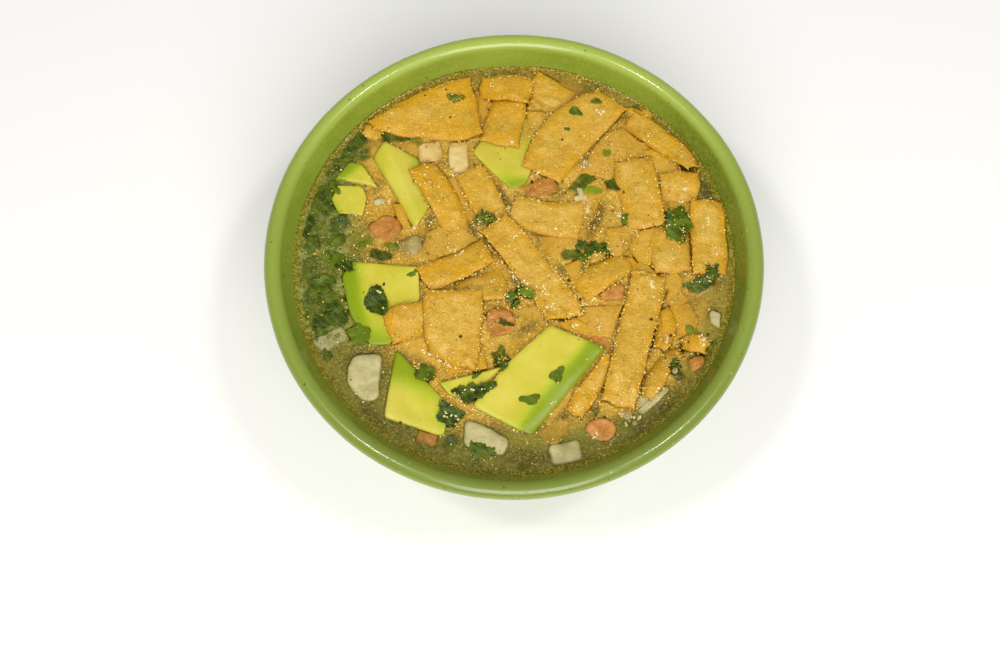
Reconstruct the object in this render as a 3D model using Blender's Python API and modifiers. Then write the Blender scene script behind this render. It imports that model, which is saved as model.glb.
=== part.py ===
"""A bowl of tortilla soup: a glazed bowl, its broth, and every piece of food that shows at the surface.

Sizes and places are in millimetres, in the soup's own frame: the origin is the middle of the foot's
resting face, +Z is up, +Y is the far side and +X is to the right. Meshes are in metres.
"""

import math

import bmesh
import bpy
import numpy as np
from mathutils import Matrix

MM = 0.001

# The bowl
RIM_RADIUS = 80.0
RIM_HEIGHT = 70.0
LIP_RADIUS = 2.95
FLOOR_HEIGHT = 8.0
UNDERSIDE_HEIGHT = 3.5
FOOT_RADIUS = 40.0
FOOT_WIDTH = 5.0
INNER_RADIUS = 74.0
OUTER_RADIUS = 79.6
WALL_HEIGHT = 67.5
WALL_POWER = 3.0
TURN_STEPS = 54
WALL_RINGS = 9

# The soup
LEVEL = 61.0
GAP = 0.3
HOLLOW_MARGIN = 0.6
CHUNK_HOLLOW_MARGIN = 0.8
WALL_CLEARANCE = 0.8
CHIP_THICKNESS = 1.35
CHIP_CELL = 4.5
CORNER_NIBBLE = 0.9
EDGE_RIPPLE = 0.35
CHIP_WAVE = 0.25
LEAF_THICKNESS = 0.55
LEAF_WAVE = 0.3
LEAF_CELLS = (5, 5)
SCRAP_CELLS = (4, 4)
SCRAP_SINK = 0.35
SCRAP_RISE = 0.4
CUTTER_TOP = LEVEL + 8.0
HEIGHT_STEP = 0.5
HEIGHT_REACH = 76.0
NOTHING = -1000.0
EDGE_SLACK = 0.02
SETTLING_STEPS = 12
LIFTING_STEPS = 4

# Each tortilla strip runs from (x1, y1) to (x2, y2). It is w1 wide at its start and w2 at its end, its
# middle bows to the left of that line by bow and is wider by belly on each side, and its ends are cut
# askew. Its top floats at rise above the broth at the start and at the end, and is rolled by lean across
# its width. A strip rests on what was laid before it.
CHIPS = {
    "tortilla_strip_01": dict(
        x1=4.8, y1=65.8, x2=17.4, y2=57.8, w1=8.5, w2=9.2, bow=0.0, rise=(0.6, -0.5), lean=0.5),
    "tortilla_strip_02": dict(
        x1=49.0, y1=13.0, x2=49.6, y2=-3.2, w1=12.0, w2=11.4, bow=0.0, rise=(-0.2, 0.4), lean=-0.3),
    "tortilla_strip_03": dict(
        x1=46.5, y1=41.8, x2=49.0, y2=30.6, w1=10.4, w2=9.5, bow=0.0, rise=(0.2, -0.3), lean=0.0),
    "tortilla_strip_04": dict(
        x1=-30.8, y1=33.8, x2=-19.0, y2=10.0, w1=8.8, w2=9.2, bow=1.0, rise=(0.7, -0.8), lean=0.3),
    "tortilla_strip_05": dict(
        x1=-3.8, y1=-7.2, x2=-19.0, y2=-9.8, w1=11.0, w2=5.4, bow=0.0, rise=(0.4, -0.3), lean=0.4),
    "tortilla_strip_06": dict(
        x1=-40.8, y1=-23.4, x2=-27.0, y2=-18.4, w1=11.0, w2=10.6, bow=0.4, rise=(0.9, -0.8), lean=0.4),
    "tortilla_strip_07": dict(
        x1=-50.2, y1=48.6, x2=-45.0, y2=45.4, w1=4.6, w2=4.6, bow=0.0, rise=(0.5, 0.0), lean=0.0),
    "tortilla_strip_08": dict(
        x1=50.4, y1=-30.2, x2=39.0, y2=-45.0, w1=4.6, w2=5.6, bow=-0.6, rise=(0.5, 0.1), lean=0.6),
    "tortilla_strip_09": dict(
        x1=46.6, y1=-16.0, x2=45.6, y2=-29.8, w1=4.2, w2=4.8, bow=0.6, rise=(0.4, 0.7), lean=0.3),
    "tortilla_strip_10": dict(
        x1=28.8, y1=-33.2, x2=17.4, y2=-51.2, w1=4.2, w2=5.4, bow=0.4, rise=(0.2, 0.8), lean=0.9),
    "tortilla_strip_11": dict(
        x1=52.8, y1=31.8, x2=53.4, y2=21.4, w1=12.0, w2=10.8, bow=0.0, rise=(0.7, 0.2), lean=0.3),
    "tortilla_strip_12": dict(
        x1=-9.0, y1=4.8, x2=-29.8, y2=-6.8, w1=8.4, w2=9.2, bow=0.6, rise=(0.7, 0.8), lean=0.5),
    "tortilla_strip_13": dict(
        x1=-2.6, y1=59.6, x2=-5.4, y2=42.4, w1=10.6, w2=11.8, bow=0.3, rise=(-0.3, 1.0), lean=0.2),
    "tortilla_strip_14": dict(
        x1=36.8, y1=51.8, x2=57.4, y2=33.8, w1=5.2, w2=4.8, bow=0.8,
        rise=(0.8, 0.7), lean=0.9, belly=1.0),
    "tortilla_strip_15": dict(
        x1=61.6, y1=21.0, x2=61.2, y2=-4.2, w1=10.6, w2=10.4, bow=0.5, rise=(0.9, 0.3), lean=0.3),
    "tortilla_strip_16": dict(
        x1=-16.0, y1=32.4, x2=-7.7, y2=17.4, w1=8.8, w2=9.8, bow=0.2, rise=(0.8, 0.6), lean=0.3),
    "tortilla_strip_17": dict(
        x1=-0.8, y1=18.6, x2=20.6, y2=14.2, w1=9.6, w2=12.0, bow=-0.6, rise=(0.8, 0.7), lean=0.2),
    "tortilla_strip_18": dict(
        x1=35.8, y1=0.6, x2=19.6, y2=-9.6, w1=7.0, w2=9.4, bow=0.0, rise=(0.6, 0.8), lean=0.5),
    "tortilla_strip_19": dict(
        x1=38.2, y1=36.6, x2=41.6, y2=12.4, w1=11.4, w2=12.2, bow=-0.6, rise=(0.9, 0.5), lean=0.3),
    "tortilla_strip_20": dict(
        x1=-11.6, y1=63.6, x2=4.8, y2=60.8, w1=6.4, w2=8.6, bow=0.5,
        rise=(0.9, 0.8), lean=0.3, belly=0.8),
    "tortilla_strip_21": dict(
        x1=-48.2, y1=49.6, x2=-13.6, y2=56.4, w1=3.4, w2=22.6, bow=-0.3,
        rise=(0.8, 1.0), lean=0.4, belly=1.6),
    "tortilla_strip_22": dict(
        x1=8.0, y1=31.6, x2=31.2, y2=58.6, w1=12.4, w2=12.0, bow=2.4,
        rise=(1.1, 1.2), lean=0.5, belly=2.0, skew=(-1.6, 0.0)),
    "tortilla_strip_23": dict(
        x1=-7.6, y1=12.8, x2=15.0, y2=-19.2, w1=9.2, w2=10.8, bow=1.8,
        rise=(1.1, 1.0), lean=0.5, skew=(0.0, 2.4)),
    "tortilla_strip_24": dict(
        x1=-20.2, y1=-11.0, x2=-20.6, y2=-34.4, w1=17.6, w2=14.4, bow=0.6,
        rise=(1.0, 1.1), lean=0.4, belly=0.6, skew=(0.0, 2.6)),
    "tortilla_strip_25": dict(
        x1=41.6, y1=-4.6, x2=31.0, y2=-48.2, w1=10.4, w2=9.8, bow=0.6, rise=(1.4, 0.9), lean=0.3),
    "tortilla_strip_26": dict(
        x1=51.6, y1=-27.6, x2=59.4, y2=-28.4, w1=4.6, w2=5.0, bow=0.0, rise=(0.6, 0.9), lean=0.3),
}

# Each cut chunk has the corners of its upper face, as (x, y, height above the broth), and how thick it
# is below them. Its lower face is the upper one shrunk to base of its size.
AVOCADO = {
    "avocado_chunk_1": dict(
        corners=[
            (-48.0, 37.2, -0.2), (-43.8, 42.6, 0.4), (-32.4, 37.6, -0.4), (-27.4, 21.0, -0.4),
            (-33.4, 11.4, -0.2),
        ],
        ridge=[(-41.2, 37.0, 2.3), (-33.6, 19.4, 1.7)], thick=9.0, base=0.8),
    "avocado_chunk_2": dict(
        corners=[
            (-60.2, 29.6, -0.2), (-55.2, 35.8, 0.6), (-50.4, 34.6, 1.2), (-44.6, 25.8, 0.4),
            (-49.6, 27.6, 0.3),
        ],
        ridge=[], thick=6.5, base=0.85),
    "avocado_chunk_3": dict(
        corners=[
            (-60.8, 22.4, -0.4), (-58.8, 27.2, 0.5), (-50.8, 26.4, 1.0), (-49.0, 22.6, 1.0),
            (-50.4, 16.4, 0.6), (-58.4, 17.4, -0.4),
        ],
        ridge=[], thick=7.0, base=0.85),
    "avocado_chunk_4": dict(
        corners=[
            (-15.0, 39.4, 0.6), (-1.6, 25.2, 0.2), (3.6, 27.8, 0.4), (9.6, 46.0, -0.9),
            (5.0, 57.0, -3.0), (-5.0, 55.0, -3.2),
        ],
        ridge=[], thick=10.0, base=0.85),
    "avocado_chunk_5": dict(
        corners=[
            (-56.2, -5.0, 0.0), (-53.0, 0.4, 0.8), (-31.4, -1.8, 0.9), (-30.6, -13.0, 0.6),
            (-40.0, -28.4, 0.4), (-46.4, -28.8, 0.2), (-53.2, -18.0, 0.2),
        ],
        ridge=[], thick=14.0, base=0.82),
    "avocado_chunk_6": dict(
        corners=[
            (-38.4, -31.2, -0.2), (-36.4, -31.4, 0.1), (-20.8, -48.0, 0.4), (-22.2, -58.8, -0.1),
            (-41.6, -52.6, 0.1),
        ],
        ridge=[(-31.5, -42.5, 1.0)], thick=9.0, base=0.85),
    "avocado_chunk_7": dict(
        corners=[
            (10.6, -22.0, 1.6), (26.6, -28.6, 1.0), (26.0, -32.0, 0.2), (5.4, -57.6, -0.2),
            (1.6, -57.0, 0.8), (-13.8, -48.8, 0.9), (-2.6, -34.2, 1.6),
        ],
        ridge=[], thick=14.0, base=0.86),
    "avocado_chunk_8": dict(
        corners=[
            (-24.4, -40.8, 0.1), (-17.6, -38.9, 0.7), (-8.4, -36.4, 0.7), (-5.4, -37.2, 0.5),
            (-14.2, -46.9, 0.2), (-21.0, -44.9, 0.0),
        ],
        ridge=[], thick=7.0, base=0.85),
}
ONION = {
    "onion_cube_1": dict(
        corners=[
            (-52.6, -31.4, 0.2), (-42.0, -30.8, 0.4), (-43.2, -47.4, 0.2), (-50.0, -47.6, -0.3),
            (-54.2, -40.6, -0.3),
        ],
        ridge=[], thick=8.0, base=0.85),
    "onion_cube_2": dict(
        corners=[
            (-15.6, -51.4, 0.2), (-1.6, -58.4, 0.5), (-3.2, -65.6, 0.1), (-16.0, -62.4, 0.0),
            (-17.6, -56.4, 0.0),
        ],
        ridge=[], thick=8.0, base=0.85),
    "onion_cube_3": dict(
        corners=[(-47.8, 21.8, 0.8), (-43.4, 23.4, 1.2), (-41.9, 20.6, 0.8), (-46.8, 18.9, 0.5)],
        ridge=[], thick=3.4, base=0.85),
    "onion_cube_4": dict(
        corners=[(60.4, -15.6, 0.6), (65.0, -16.6, 0.8), (64.6, -24.4, 0.6), (60.4, -21.6, 0.3)],
        ridge=[], thick=6.0, base=0.8),
    "onion_cube_5": dict(
        corners=[
            (46.6, -41.2, 0.2), (48.0, -43.4, 0.4), (38.6, -52.2, 0.4), (36.2, -50.2, 0.2),
            (41.6, -46.4, 0.6),
        ],
        ridge=[], thick=5.0, base=0.8),
    "onion_cube_6": dict(
        corners=[(18.7, 27.4, 0.2), (21.8, 27.2, 0.5), (22.6, 22.6, 0.5), (20.6, 21.8, 0.2)],
        ridge=[], thick=3.4, base=0.85),
}
TOMATO = {
    "tomato_cube_1": dict(
        corners=[
            (-48.4, 12.6, -0.2), (-43.8, 17.2, 0.4), (-39.4, 16.4, 0.3), (-36.9, 12.6, 0.0),
            (-39.8, 7.8, -0.2), (-45.8, 8.2, -0.3),
        ],
        ridge=[], thick=7.0, base=0.85),
    "tomato_cube_2": dict(
        corners=[
            (-9.0, -16.2, 0.0), (-4.6, -14.9, 0.3), (0.2, -18.4, 0.4), (-0.6, -24.0, 0.2),
            (-8.2, -26.0, 0.0), (-10.3, -21.0, -0.2),
        ],
        ridge=[], thick=7.0, base=0.85),
    "tomato_cube_3": dict(
        corners=[
            (30.0, -6.4, 0.0), (34.8, -8.2, -0.2), (33.4, -13.0, -0.6), (26.0, -13.4, 0.1),
            (26.6, -9.8, 0.3),
        ],
        ridge=[], thick=6.0, base=0.85),
    "tomato_cube_4": dict(
        corners=[
            (21.4, -53.6, 0.5), (26.2, -52.2, 1.5), (30.8, -54.4, 1.2), (30.4, -58.6, 0.4),
            (25.8, -61.0, 0.2), (20.8, -57.8, 0.3),
        ],
        ridge=[], thick=8.0, base=0.8),
    "tomato_cube_5": dict(
        corners=[(52.4, -32.6, 0.1), (58.8, -31.4, -0.2), (58.6, -35.2, -0.2), (54.2, -38.4, 0.0)],
        ridge=[], thick=5.0, base=0.8),
}

# Each leaf is a lobed outline about (x, y), long by wide, turned by turn degrees, with the number of
# lobes, how deep they are, and the height of its middle above the broth where nothing holds it up.
LEAVES = {
    "cilantro_leaf_01": dict(x=-44.6, y=-14.2, long=13.0, wide=8.0, turn=-65, lobes=3, depth=0.26, rise=0.2),
    "cilantro_leaf_02": dict(x=-50.0, y=-25.2, long=8.0, wide=7.6, turn=20, lobes=5, depth=0.14, rise=0.3),
    "cilantro_leaf_03": dict(x=-28.6, y=-38.0, long=8.0, wide=6.4, turn=30, lobes=3, depth=0.18, rise=0.2),
    "cilantro_leaf_04": dict(x=-13.6, y=-44.4, long=16.5, wide=6.2, turn=12, lobes=3, depth=0.2, rise=0.3),
    "cilantro_leaf_05": dict(x=-20.8, y=-51.8, long=11.0, wide=8.4, turn=-35, lobes=3, depth=0.2, rise=0.5),
    "cilantro_leaf_06": dict(x=-4.8, y=-33.2, long=11.0, wide=5.6, turn=100, lobes=4, depth=0.24, rise=0.2),
    "cilantro_leaf_07": dict(x=1.6, y=-12.6, long=11.5, wide=6.8, turn=15, lobes=4, depth=0.26, rise=0.4),
    "cilantro_leaf_08": dict(x=21.6, y=4.0, long=16.5, wide=9.5, turn=18, lobes=5, depth=0.24, rise=0.3),
    "cilantro_leaf_09": dict(x=51.6, y=12.8, long=13.4, wide=9.0, turn=84, lobes=5, depth=0.12, rise=0.2),
    "cilantro_leaf_10": dict(x=59.2, y=-7.0, long=15.0, wide=8.6, turn=38, lobes=5, depth=0.24, rise=0.3),
    "cilantro_leaf_11": dict(x=-56.6, y=-0.6, long=9.6, wide=7.8, turn=-25, lobes=4, depth=0.22, rise=0.3),
    "cilantro_leaf_12": dict(x=49.6, y=-37.6, long=8.6, wide=5.8, turn=70, lobes=3, depth=0.16, rise=0.4),
    "cilantro_leaf_13": dict(x=-10.4, y=14.6, long=8.4, wide=3.4, turn=14, lobes=4, depth=0.16, rise=0.1),
}

# Scraps of leaf too small for a node of their own are part of the piece they lie on.
SCRAPS = {
    "avocado_chunk_7": [
        dict(x=4.2, y=-46.8, long=7.4, wide=4.0, turn=5, lobes=3, depth=0.3),
        dict(x=12.6, y=-38.8, long=6.4, wide=4.4, turn=55, lobes=3, depth=0.3),
    ],
    "tortilla_strip_21": [dict(x=-20.2, y=58.8, long=7.0, wide=3.4, turn=-12, lobes=3, depth=0.25)],
    "tortilla_strip_22": [
        dict(x=19.4, y=53.6, long=5.2, wide=3.4, turn=-20, lobes=3, depth=0.3),
        dict(x=26.4, y=57.2, long=4.6, wide=2.2, turn=-5, lobes=3, depth=0.2),
    ],
}

# Colour, roughness and metallic value of each kind of piece
FINISHES = {
    "glaze": ((0.33, 0.43, 0.08), 0.22, 0.0),
    "broth": ((0.34, 0.26, 0.07), 0.12, 0.0),
    "tortilla": ((0.70, 0.42, 0.10), 0.38, 0.0),
    "avocado": ((0.70, 0.66, 0.12), 0.40, 0.0),
    "onion": ((0.62, 0.56, 0.36), 0.35, 0.0),
    "tomato": ((0.58, 0.20, 0.08), 0.30, 0.0),
    "cilantro": ((0.06, 0.15, 0.02), 0.35, 0.0),
}


def clear_scene():
    for obj in list(bpy.data.objects):
        bpy.data.objects.remove(obj, do_unlink=True)


def new_collection(name):
    collection = bpy.data.collections.new(name)
    bpy.context.scene.collection.children.link(collection)
    return collection


def finish_material(name):
    """The Principled material of one kind of piece, made once."""
    found = bpy.data.materials.get(name)
    if found:
        return found
    colour, roughness, metallic = FINISHES[name]
    material = bpy.data.materials.new(name)
    material.use_nodes = True
    shader = material.node_tree.nodes["Principled BSDF"]
    shader.inputs["Base Color"].default_value = (*colour, 1.0)
    shader.inputs["Roughness"].default_value = roughness
    shader.inputs["Metallic"].default_value = metallic
    return material


def new_object(name, mesh, collection, finish=None):
    obj = bpy.data.objects.new(name, mesh)
    collection.objects.link(obj)
    if finish:
        mesh.materials.clear()
        mesh.materials.append(finish_material(finish))
    return obj


def mesh_of(bm, name):
    """The finished mesh of a bmesh whose points are in millimetres."""
    bmesh.ops.recalc_face_normals(bm, faces=bm.faces)
    if bm.calc_volume(signed=True) < 0:
        bmesh.ops.reverse_faces(bm, faces=bm.faces)
    bmesh.ops.transform(bm, matrix=Matrix.Scale(MM, 4), verts=bm.verts)
    mesh = bpy.data.meshes.new(name)
    bm.to_mesh(mesh)
    bm.free()
    return mesh


def evaluated_mesh(obj):
    """A new mesh of the object with its modifiers applied."""
    bpy.context.view_layer.update()
    graph = bpy.context.evaluated_depsgraph_get()
    return bpy.data.meshes.new_from_object(obj.evaluated_get(graph))


def triangles(mesh):
    """The mesh's triangles in millimetres, as an array of three corners each."""
    mesh.calc_loop_triangles()
    points = np.empty(len(mesh.vertices) * 3)
    mesh.vertices.foreach_get("co", points)
    corners = np.empty(len(mesh.loop_triangles) * 3, dtype=np.int32)
    mesh.loop_triangles.foreach_get("vertices", corners)
    return points.reshape(-1, 3)[corners.reshape(-1, 3)] / MM


def inner_radius(z):
    """The bowl's inside radius at a height: the wall rises as a cubic of its radius."""
    share = (z - FLOOR_HEIGHT) / (WALL_HEIGHT - FLOOR_HEIGHT)
    return INNER_RADIUS * np.maximum(share, 0.0) ** (1 / WALL_POWER)


def outer_height(radius):
    return WALL_HEIGHT * (radius / OUTER_RADIUS) ** WALL_POWER


def inside_bowl(points):
    """The points, pulled in towards the axis where they would come too close to the wall."""
    radius = np.hypot(points[:, 0], points[:, 1])
    room = inner_radius(points[:, 2]) - WALL_CLEARANCE
    share = np.minimum(1.0, room / np.maximum(radius, 1e-6))
    return np.column_stack([points[:, :2] * share[:, None], points[:, 2]])


def inner_wall():
    """The inside of the bowl from the middle of its floor to its lip, as (radius, height) pairs."""
    rise = WALL_HEIGHT - FLOOR_HEIGHT
    radii = np.linspace(0, INNER_RADIUS - 0.4, WALL_RINGS)
    return [(float(r), float(FLOOR_HEIGHT + rise * (r / INNER_RADIUS) ** WALL_POWER)) for r in radii]


def bowl_profile():
    """From the middle of the floor, up the inside, round the lip, down the outside and under the foot."""
    lip_middle = (RIM_RADIUS - LIP_RADIUS, RIM_HEIGHT - LIP_RADIUS)
    lip = [(lip_middle[0] + LIP_RADIUS * math.cos(a), lip_middle[1] + LIP_RADIUS * math.sin(a))
           for a in np.radians(np.linspace(165, -35, 7))]
    outside = [(r, outer_height(r)) for r in np.linspace(77.6, FOOT_RADIUS + 2.5, 5)]
    foot = [
        (FOOT_RADIUS + 0.4, 6.0),
        (FOOT_RADIUS, 0.8),
        (FOOT_RADIUS - 0.8, 0.0),
        (FOOT_RADIUS - FOOT_WIDTH + 0.8, 0.0),
        (FOOT_RADIUS - FOOT_WIDTH, UNDERSIDE_HEIGHT),
        (0.0, UNDERSIDE_HEIGHT),
    ]
    return inner_wall() + lip + outside + foot


def turned(name, profile, collection, finish):
    """A profile of (radius, height) pairs turned about the vertical axis."""
    bm = bmesh.new()
    ring = [bm.verts.new((r, 0.0, z)) for r, z in profile]
    for start, end in zip(ring, ring[1:]):
        bm.edges.new((start, end))
    bmesh.ops.transform(bm, matrix=Matrix.Scale(MM, 4), verts=bm.verts)
    mesh = bpy.data.meshes.new(name)
    bm.to_mesh(mesh)
    bm.free()
    obj = new_object(name, mesh, collection, finish)
    screw = obj.modifiers.new("turn", "SCREW")
    screw.axis = "Z"
    screw.steps = screw.render_steps = TURN_STEPS
    screw.use_merge_vertices = True
    screw.merge_threshold = 0.00001
    screw.use_smooth_shade = True
    return obj


class Pile:
    """The height of whatever has been laid in the bowl so far, on a fine square grid seen from above."""

    def __init__(self):
        self.axis = np.arange(-HEIGHT_REACH, HEIGHT_REACH + HEIGHT_STEP, HEIGHT_STEP)
        self.tops = np.full((len(self.axis), len(self.axis)), NOTHING)

    def spread(self, corners, lowest=False):
        """The cells under one triangle and its height there, or its height turned over for the lowest."""
        low = np.floor((corners[:, :2].min(0) + HEIGHT_REACH) / HEIGHT_STEP).astype(int)
        high = np.ceil((corners[:, :2].max(0) + HEIGHT_REACH) / HEIGHT_STEP).astype(int) + 1
        rows, columns = slice(low[0], high[0]), slice(low[1], high[1])
        x, y = np.meshgrid(self.axis[rows], self.axis[columns], indexing="ij")
        a, b, c = corners
        area = (b[0] - a[0]) * (c[1] - a[1]) - (c[0] - a[0]) * (b[1] - a[1])
        if abs(area) < 1e-9:
            return rows, columns, np.full(x.shape, NOTHING)
        s = ((x - a[0]) * (c[1] - a[1]) - (y - a[1]) * (c[0] - a[0])) / area
        t = ((y - a[1]) * (b[0] - a[0]) - (x - a[0]) * (b[1] - a[1])) / area
        inside = (s >= -EDGE_SLACK) & (t >= -EDGE_SLACK) & (s + t <= 1 + EDGE_SLACK)
        height = a[2] + s * (b[2] - a[2]) + t * (c[2] - a[2])
        return rows, columns, np.where(inside, -height if lowest else height, NOTHING)

    def heights(self, faces, lowest=False):
        """The grid of the highest point of these triangles, or of the lowest one turned over."""
        grid = np.full(self.tops.shape, NOTHING)
        for corners in faces:
            rows, columns, height = self.spread(corners, lowest)
            grid[rows, columns] = np.maximum(grid[rows, columns], height)
        return grid

    def lay(self, faces):
        self.tops = np.maximum(self.tops, self.heights(faces))

    def under(self, x, y, reach):
        """The highest thing within reach of each place."""
        found = np.full(x.shape, NOTHING)
        for ring in (0.0, 0.35, 0.7, 1.0):
            for angle in np.linspace(0, 2 * math.pi, 12, endpoint=False):
                i = np.rint((x + ring * reach * math.cos(angle) + HEIGHT_REACH) / HEIGHT_STEP).astype(int)
                j = np.rint((y + ring * reach * math.sin(angle) + HEIGHT_REACH) / HEIGHT_STEP).astype(int)
                last = len(self.axis) - 1
                found = np.maximum(found, self.tops[i.clip(0, last), j.clip(0, last)])
        return found

    def shortfall(self, faces):
        """How far these triangles would have to rise to clear everything below them by the gap."""
        lowest = -self.heights(faces, lowest=True)
        over = (lowest < -NOTHING) & (self.tops > NOTHING)
        return max(0.0, float((self.tops + GAP - lowest)[over].max())) if over.any() else 0.0


def chip_plan(chip, u, v, margin=0.0):
    """Where the point (u, v) of a strip lies, seen from above; u runs along it and v across, from -1 to 1."""
    start, end = np.array([chip["x1"], chip["y1"]]), np.array([chip["x2"], chip["y2"]])
    length = np.linalg.norm(end - start)
    along = (end - start) / length
    left = np.array([-along[1], along[0]])
    crown = 1 - u**2
    at_side = np.abs(v) > 0.99
    nibble = CORNER_NIBBLE * at_side * np.abs(u) ** 8
    half_width = (chip["w1"] * (1 - u) + chip["w2"] * (1 + u)) / 4 + chip.get("belly", 0.0) * crown + margin
    ripple = EDGE_RIPPLE * np.sin(2.6 * u + chip["x1"]) * at_side
    across = v * (half_width - 0.5 * nibble) + chip["bow"] * crown + ripple
    first_skew, last_skew = chip.get("skew", (0.0, 0.0))
    lengthwise = u * (length / 2 + margin - nibble) + v * (first_skew * (1 - u) + last_skew * (1 + u)) / 2
    middle = (start + end) / 2
    x = middle[0] + lengthwise * along[0] + across * left[0]
    y = middle[1] + lengthwise * along[1] + across * left[1]
    return x, y


def leaf_plan(leaf, u, v, margin=0.0):
    """Where the point (u, v) of a leaf lies: a square laid on a disc, then stretched and cut into lobes."""
    disc_x = u * np.sqrt(1 - v**2 / 2)
    disc_y = v * np.sqrt(1 - u**2 / 2)
    angle = np.arctan2(disc_y, disc_x)
    lobe = 1 - leaf["depth"] * (0.5 - 0.5 * np.cos(leaf["lobes"] * angle + leaf["x"]))
    x = disc_x * lobe * (leaf["long"] / 2 + margin)
    y = disc_y * lobe * (leaf["wide"] / 2 + margin)
    turn = math.radians(leaf["turn"])
    turned_x = leaf["x"] + x * math.cos(turn) - y * math.sin(turn)
    turned_y = leaf["y"] + x * math.sin(turn) + y * math.cos(turn)
    return turned_x, turned_y


def sheet_mesh(name, cells, points, top):
    """A thin slab on a grid of cells: points are its lower face and top the height of its upper one."""
    bm = bmesh.new()
    bmesh.ops.create_grid(bm, x_segments=cells[0], y_segments=cells[1], size=1.0)
    lower = list(bm.verts)
    for vert, point in zip(lower, points):
        vert.co = point
    bmesh.ops.triangulate(bm, faces=bm.faces, quad_method="FIXED")
    made = bmesh.ops.extrude_face_region(bm, geom=list(bm.faces))["geom"]
    upper = [item for item in made if isinstance(item, bmesh.types.BMVert)]
    place = {tuple(round(c, 5) for c in vert.co): height for vert, height in zip(lower, top)}
    for vert in upper:
        vert.co.z = place[tuple(round(c, 5) for c in vert.co)]
    return mesh_of(bm, name)


def grid_values(cells):
    """u and v of a grid's points, in the order in which Blender makes them."""
    u, v = np.meshgrid(np.linspace(-1, 1, cells[0] + 1), np.linspace(-1, 1, cells[1] + 1))
    return u.ravel(), v.ravel()


def slopes(plane, cells):
    """How steeply a sheet rises at each of its points, as millimetres of height for each one across."""
    shape = (cells[1] + 1, cells[0] + 1)
    grid = plane.reshape(*shape, 3)
    steepest = np.zeros(shape)
    for axis in (0, 1):
        step = np.diff(grid, axis=axis)
        slope = np.abs(step[..., 2]) / np.maximum(np.hypot(step[..., 0], step[..., 1]), 0.5)
        ends = [(0, 0), (0, 0)]
        ends[axis] = (1, 1)
        padded = np.pad(slope, ends, mode="edge")
        ahead = np.take(padded, range(1, padded.shape[axis]), axis)
        behind = np.take(padded, range(padded.shape[axis] - 1), axis)
        steepest = np.maximum(steepest, np.maximum(ahead, behind))
    return steepest.ravel()


def settle(wanted, needed, cells):
    """Heights that are never under needed, and elsewhere bend smoothly between it and wanted."""
    shape = (cells[1] + 1, cells[0] + 1)
    wanted, needed = wanted.reshape(shape), needed.reshape(shape)
    height = np.maximum(wanted, needed)
    for _ in range(SETTLING_STEPS):
        padded = np.pad(height, 1, mode="reflect", reflect_type="odd")
        around = (padded[:-2, 1:-1] + padded[2:, 1:-1] + padded[1:-1, :-2] + padded[1:-1, 2:]) / 4
        height = np.maximum(needed, 0.45 * around + 0.45 * height + 0.1 * wanted)
    return height.ravel()


def new_cutter(name, mesh, cutters):
    """The hollow that a piece makes in the broth."""
    cutter = new_object(name + "_hollow", mesh, cutters)
    cutter.hide_render = True
    cutter.display_type = "WIRE"


def lay_sheet(name, cells, plan, wanted, thickness, wave, pile, parts, cutters, finish):
    """A thin piece laid on the pile, and where it dips into the broth the cutter of the hollow it makes."""
    u, v = grid_values(cells)
    x, y = plan(u, v)
    spacing = max(np.ptp(x) / cells[0], np.ptp(y) / cells[0], 1.5)
    needed = pile.under(x, y, min(spacing, 4.0)) + GAP
    height = settle(wanted + wave - thickness, needed, cells)
    plane = inside_bowl(np.column_stack([x, y, height]))
    for _ in range(LIFTING_STEPS):
        faces = triangles(sheet_mesh(name, cells, plane, plane[:, 2] + thickness))
        short = pile.shortfall(faces)
        if short < 0.01:
            break
        plane[:, 2] += short
    mesh = sheet_mesh(name, cells, plane, plane[:, 2] + thickness)
    new_object(name, mesh, parts, finish)
    pile.lay(triangles(mesh))
    if plane[:, 2].min() < LEVEL + GAP:
        wide_x, wide_y = plan(u, v, HOLLOW_MARGIN)
        depth = plane[:, 2] - HOLLOW_MARGIN * (1 + slopes(plane, cells))
        room = np.column_stack([wide_x, wide_y, depth])
        new_cutter(name, sheet_mesh(name + "_hollow", cells, room, np.full(len(room), CUTTER_TOP)), cutters)


def lay_chip(name, chip, pile, parts, cutters):
    length = math.hypot(chip["x2"] - chip["x1"], chip["y2"] - chip["y1"])
    cells = (max(3, round(length / CHIP_CELL)), 2)

    def plan(u, v, margin=0.0):
        return chip_plan(chip, u, v, margin)

    u, v = grid_values(cells)
    first, last = chip["rise"]
    wanted = LEVEL + first * (1 - u) / 2 + last * (1 + u) / 2 + chip["lean"] * v
    wave = CHIP_WAVE * np.sin(3.1 * u + chip["y1"]) * (1 - 0.5 * v**2)
    lay_sheet(name, cells, plan, wanted, CHIP_THICKNESS, wave, pile, parts, cutters, "tortilla")


def lay_leaf(name, leaf, pile, parts, cutters):
    cells = LEAF_CELLS

    def plan(u, v, margin=0.0):
        return leaf_plan(leaf, u, v, margin)

    u, v = grid_values(cells)
    wanted = np.full(u.shape, LEVEL + leaf["rise"])
    wave = LEAF_WAVE * np.sin(2.4 * u + leaf["x"]) * np.cos(2.1 * v + leaf["y"])
    lay_sheet(name, cells, plan, wanted, LEAF_THICKNESS, wave, pile, parts, cutters, "cilantro")


def chunk_points(chunk):
    """The corners of a chunk's upper face and ridge, and of the smaller face below it."""
    upper = np.array(chunk["corners"])
    middle = upper.mean(0)
    lower = middle + (upper - middle) * chunk["base"]
    lower[:, 2] = middle[2] - chunk["thick"]
    points = np.vstack([upper] + [np.array(chunk["ridge"]).reshape(-1, 3)] + [lower])
    points[:, 2] += LEVEL
    return inside_bowl(points)


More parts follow.
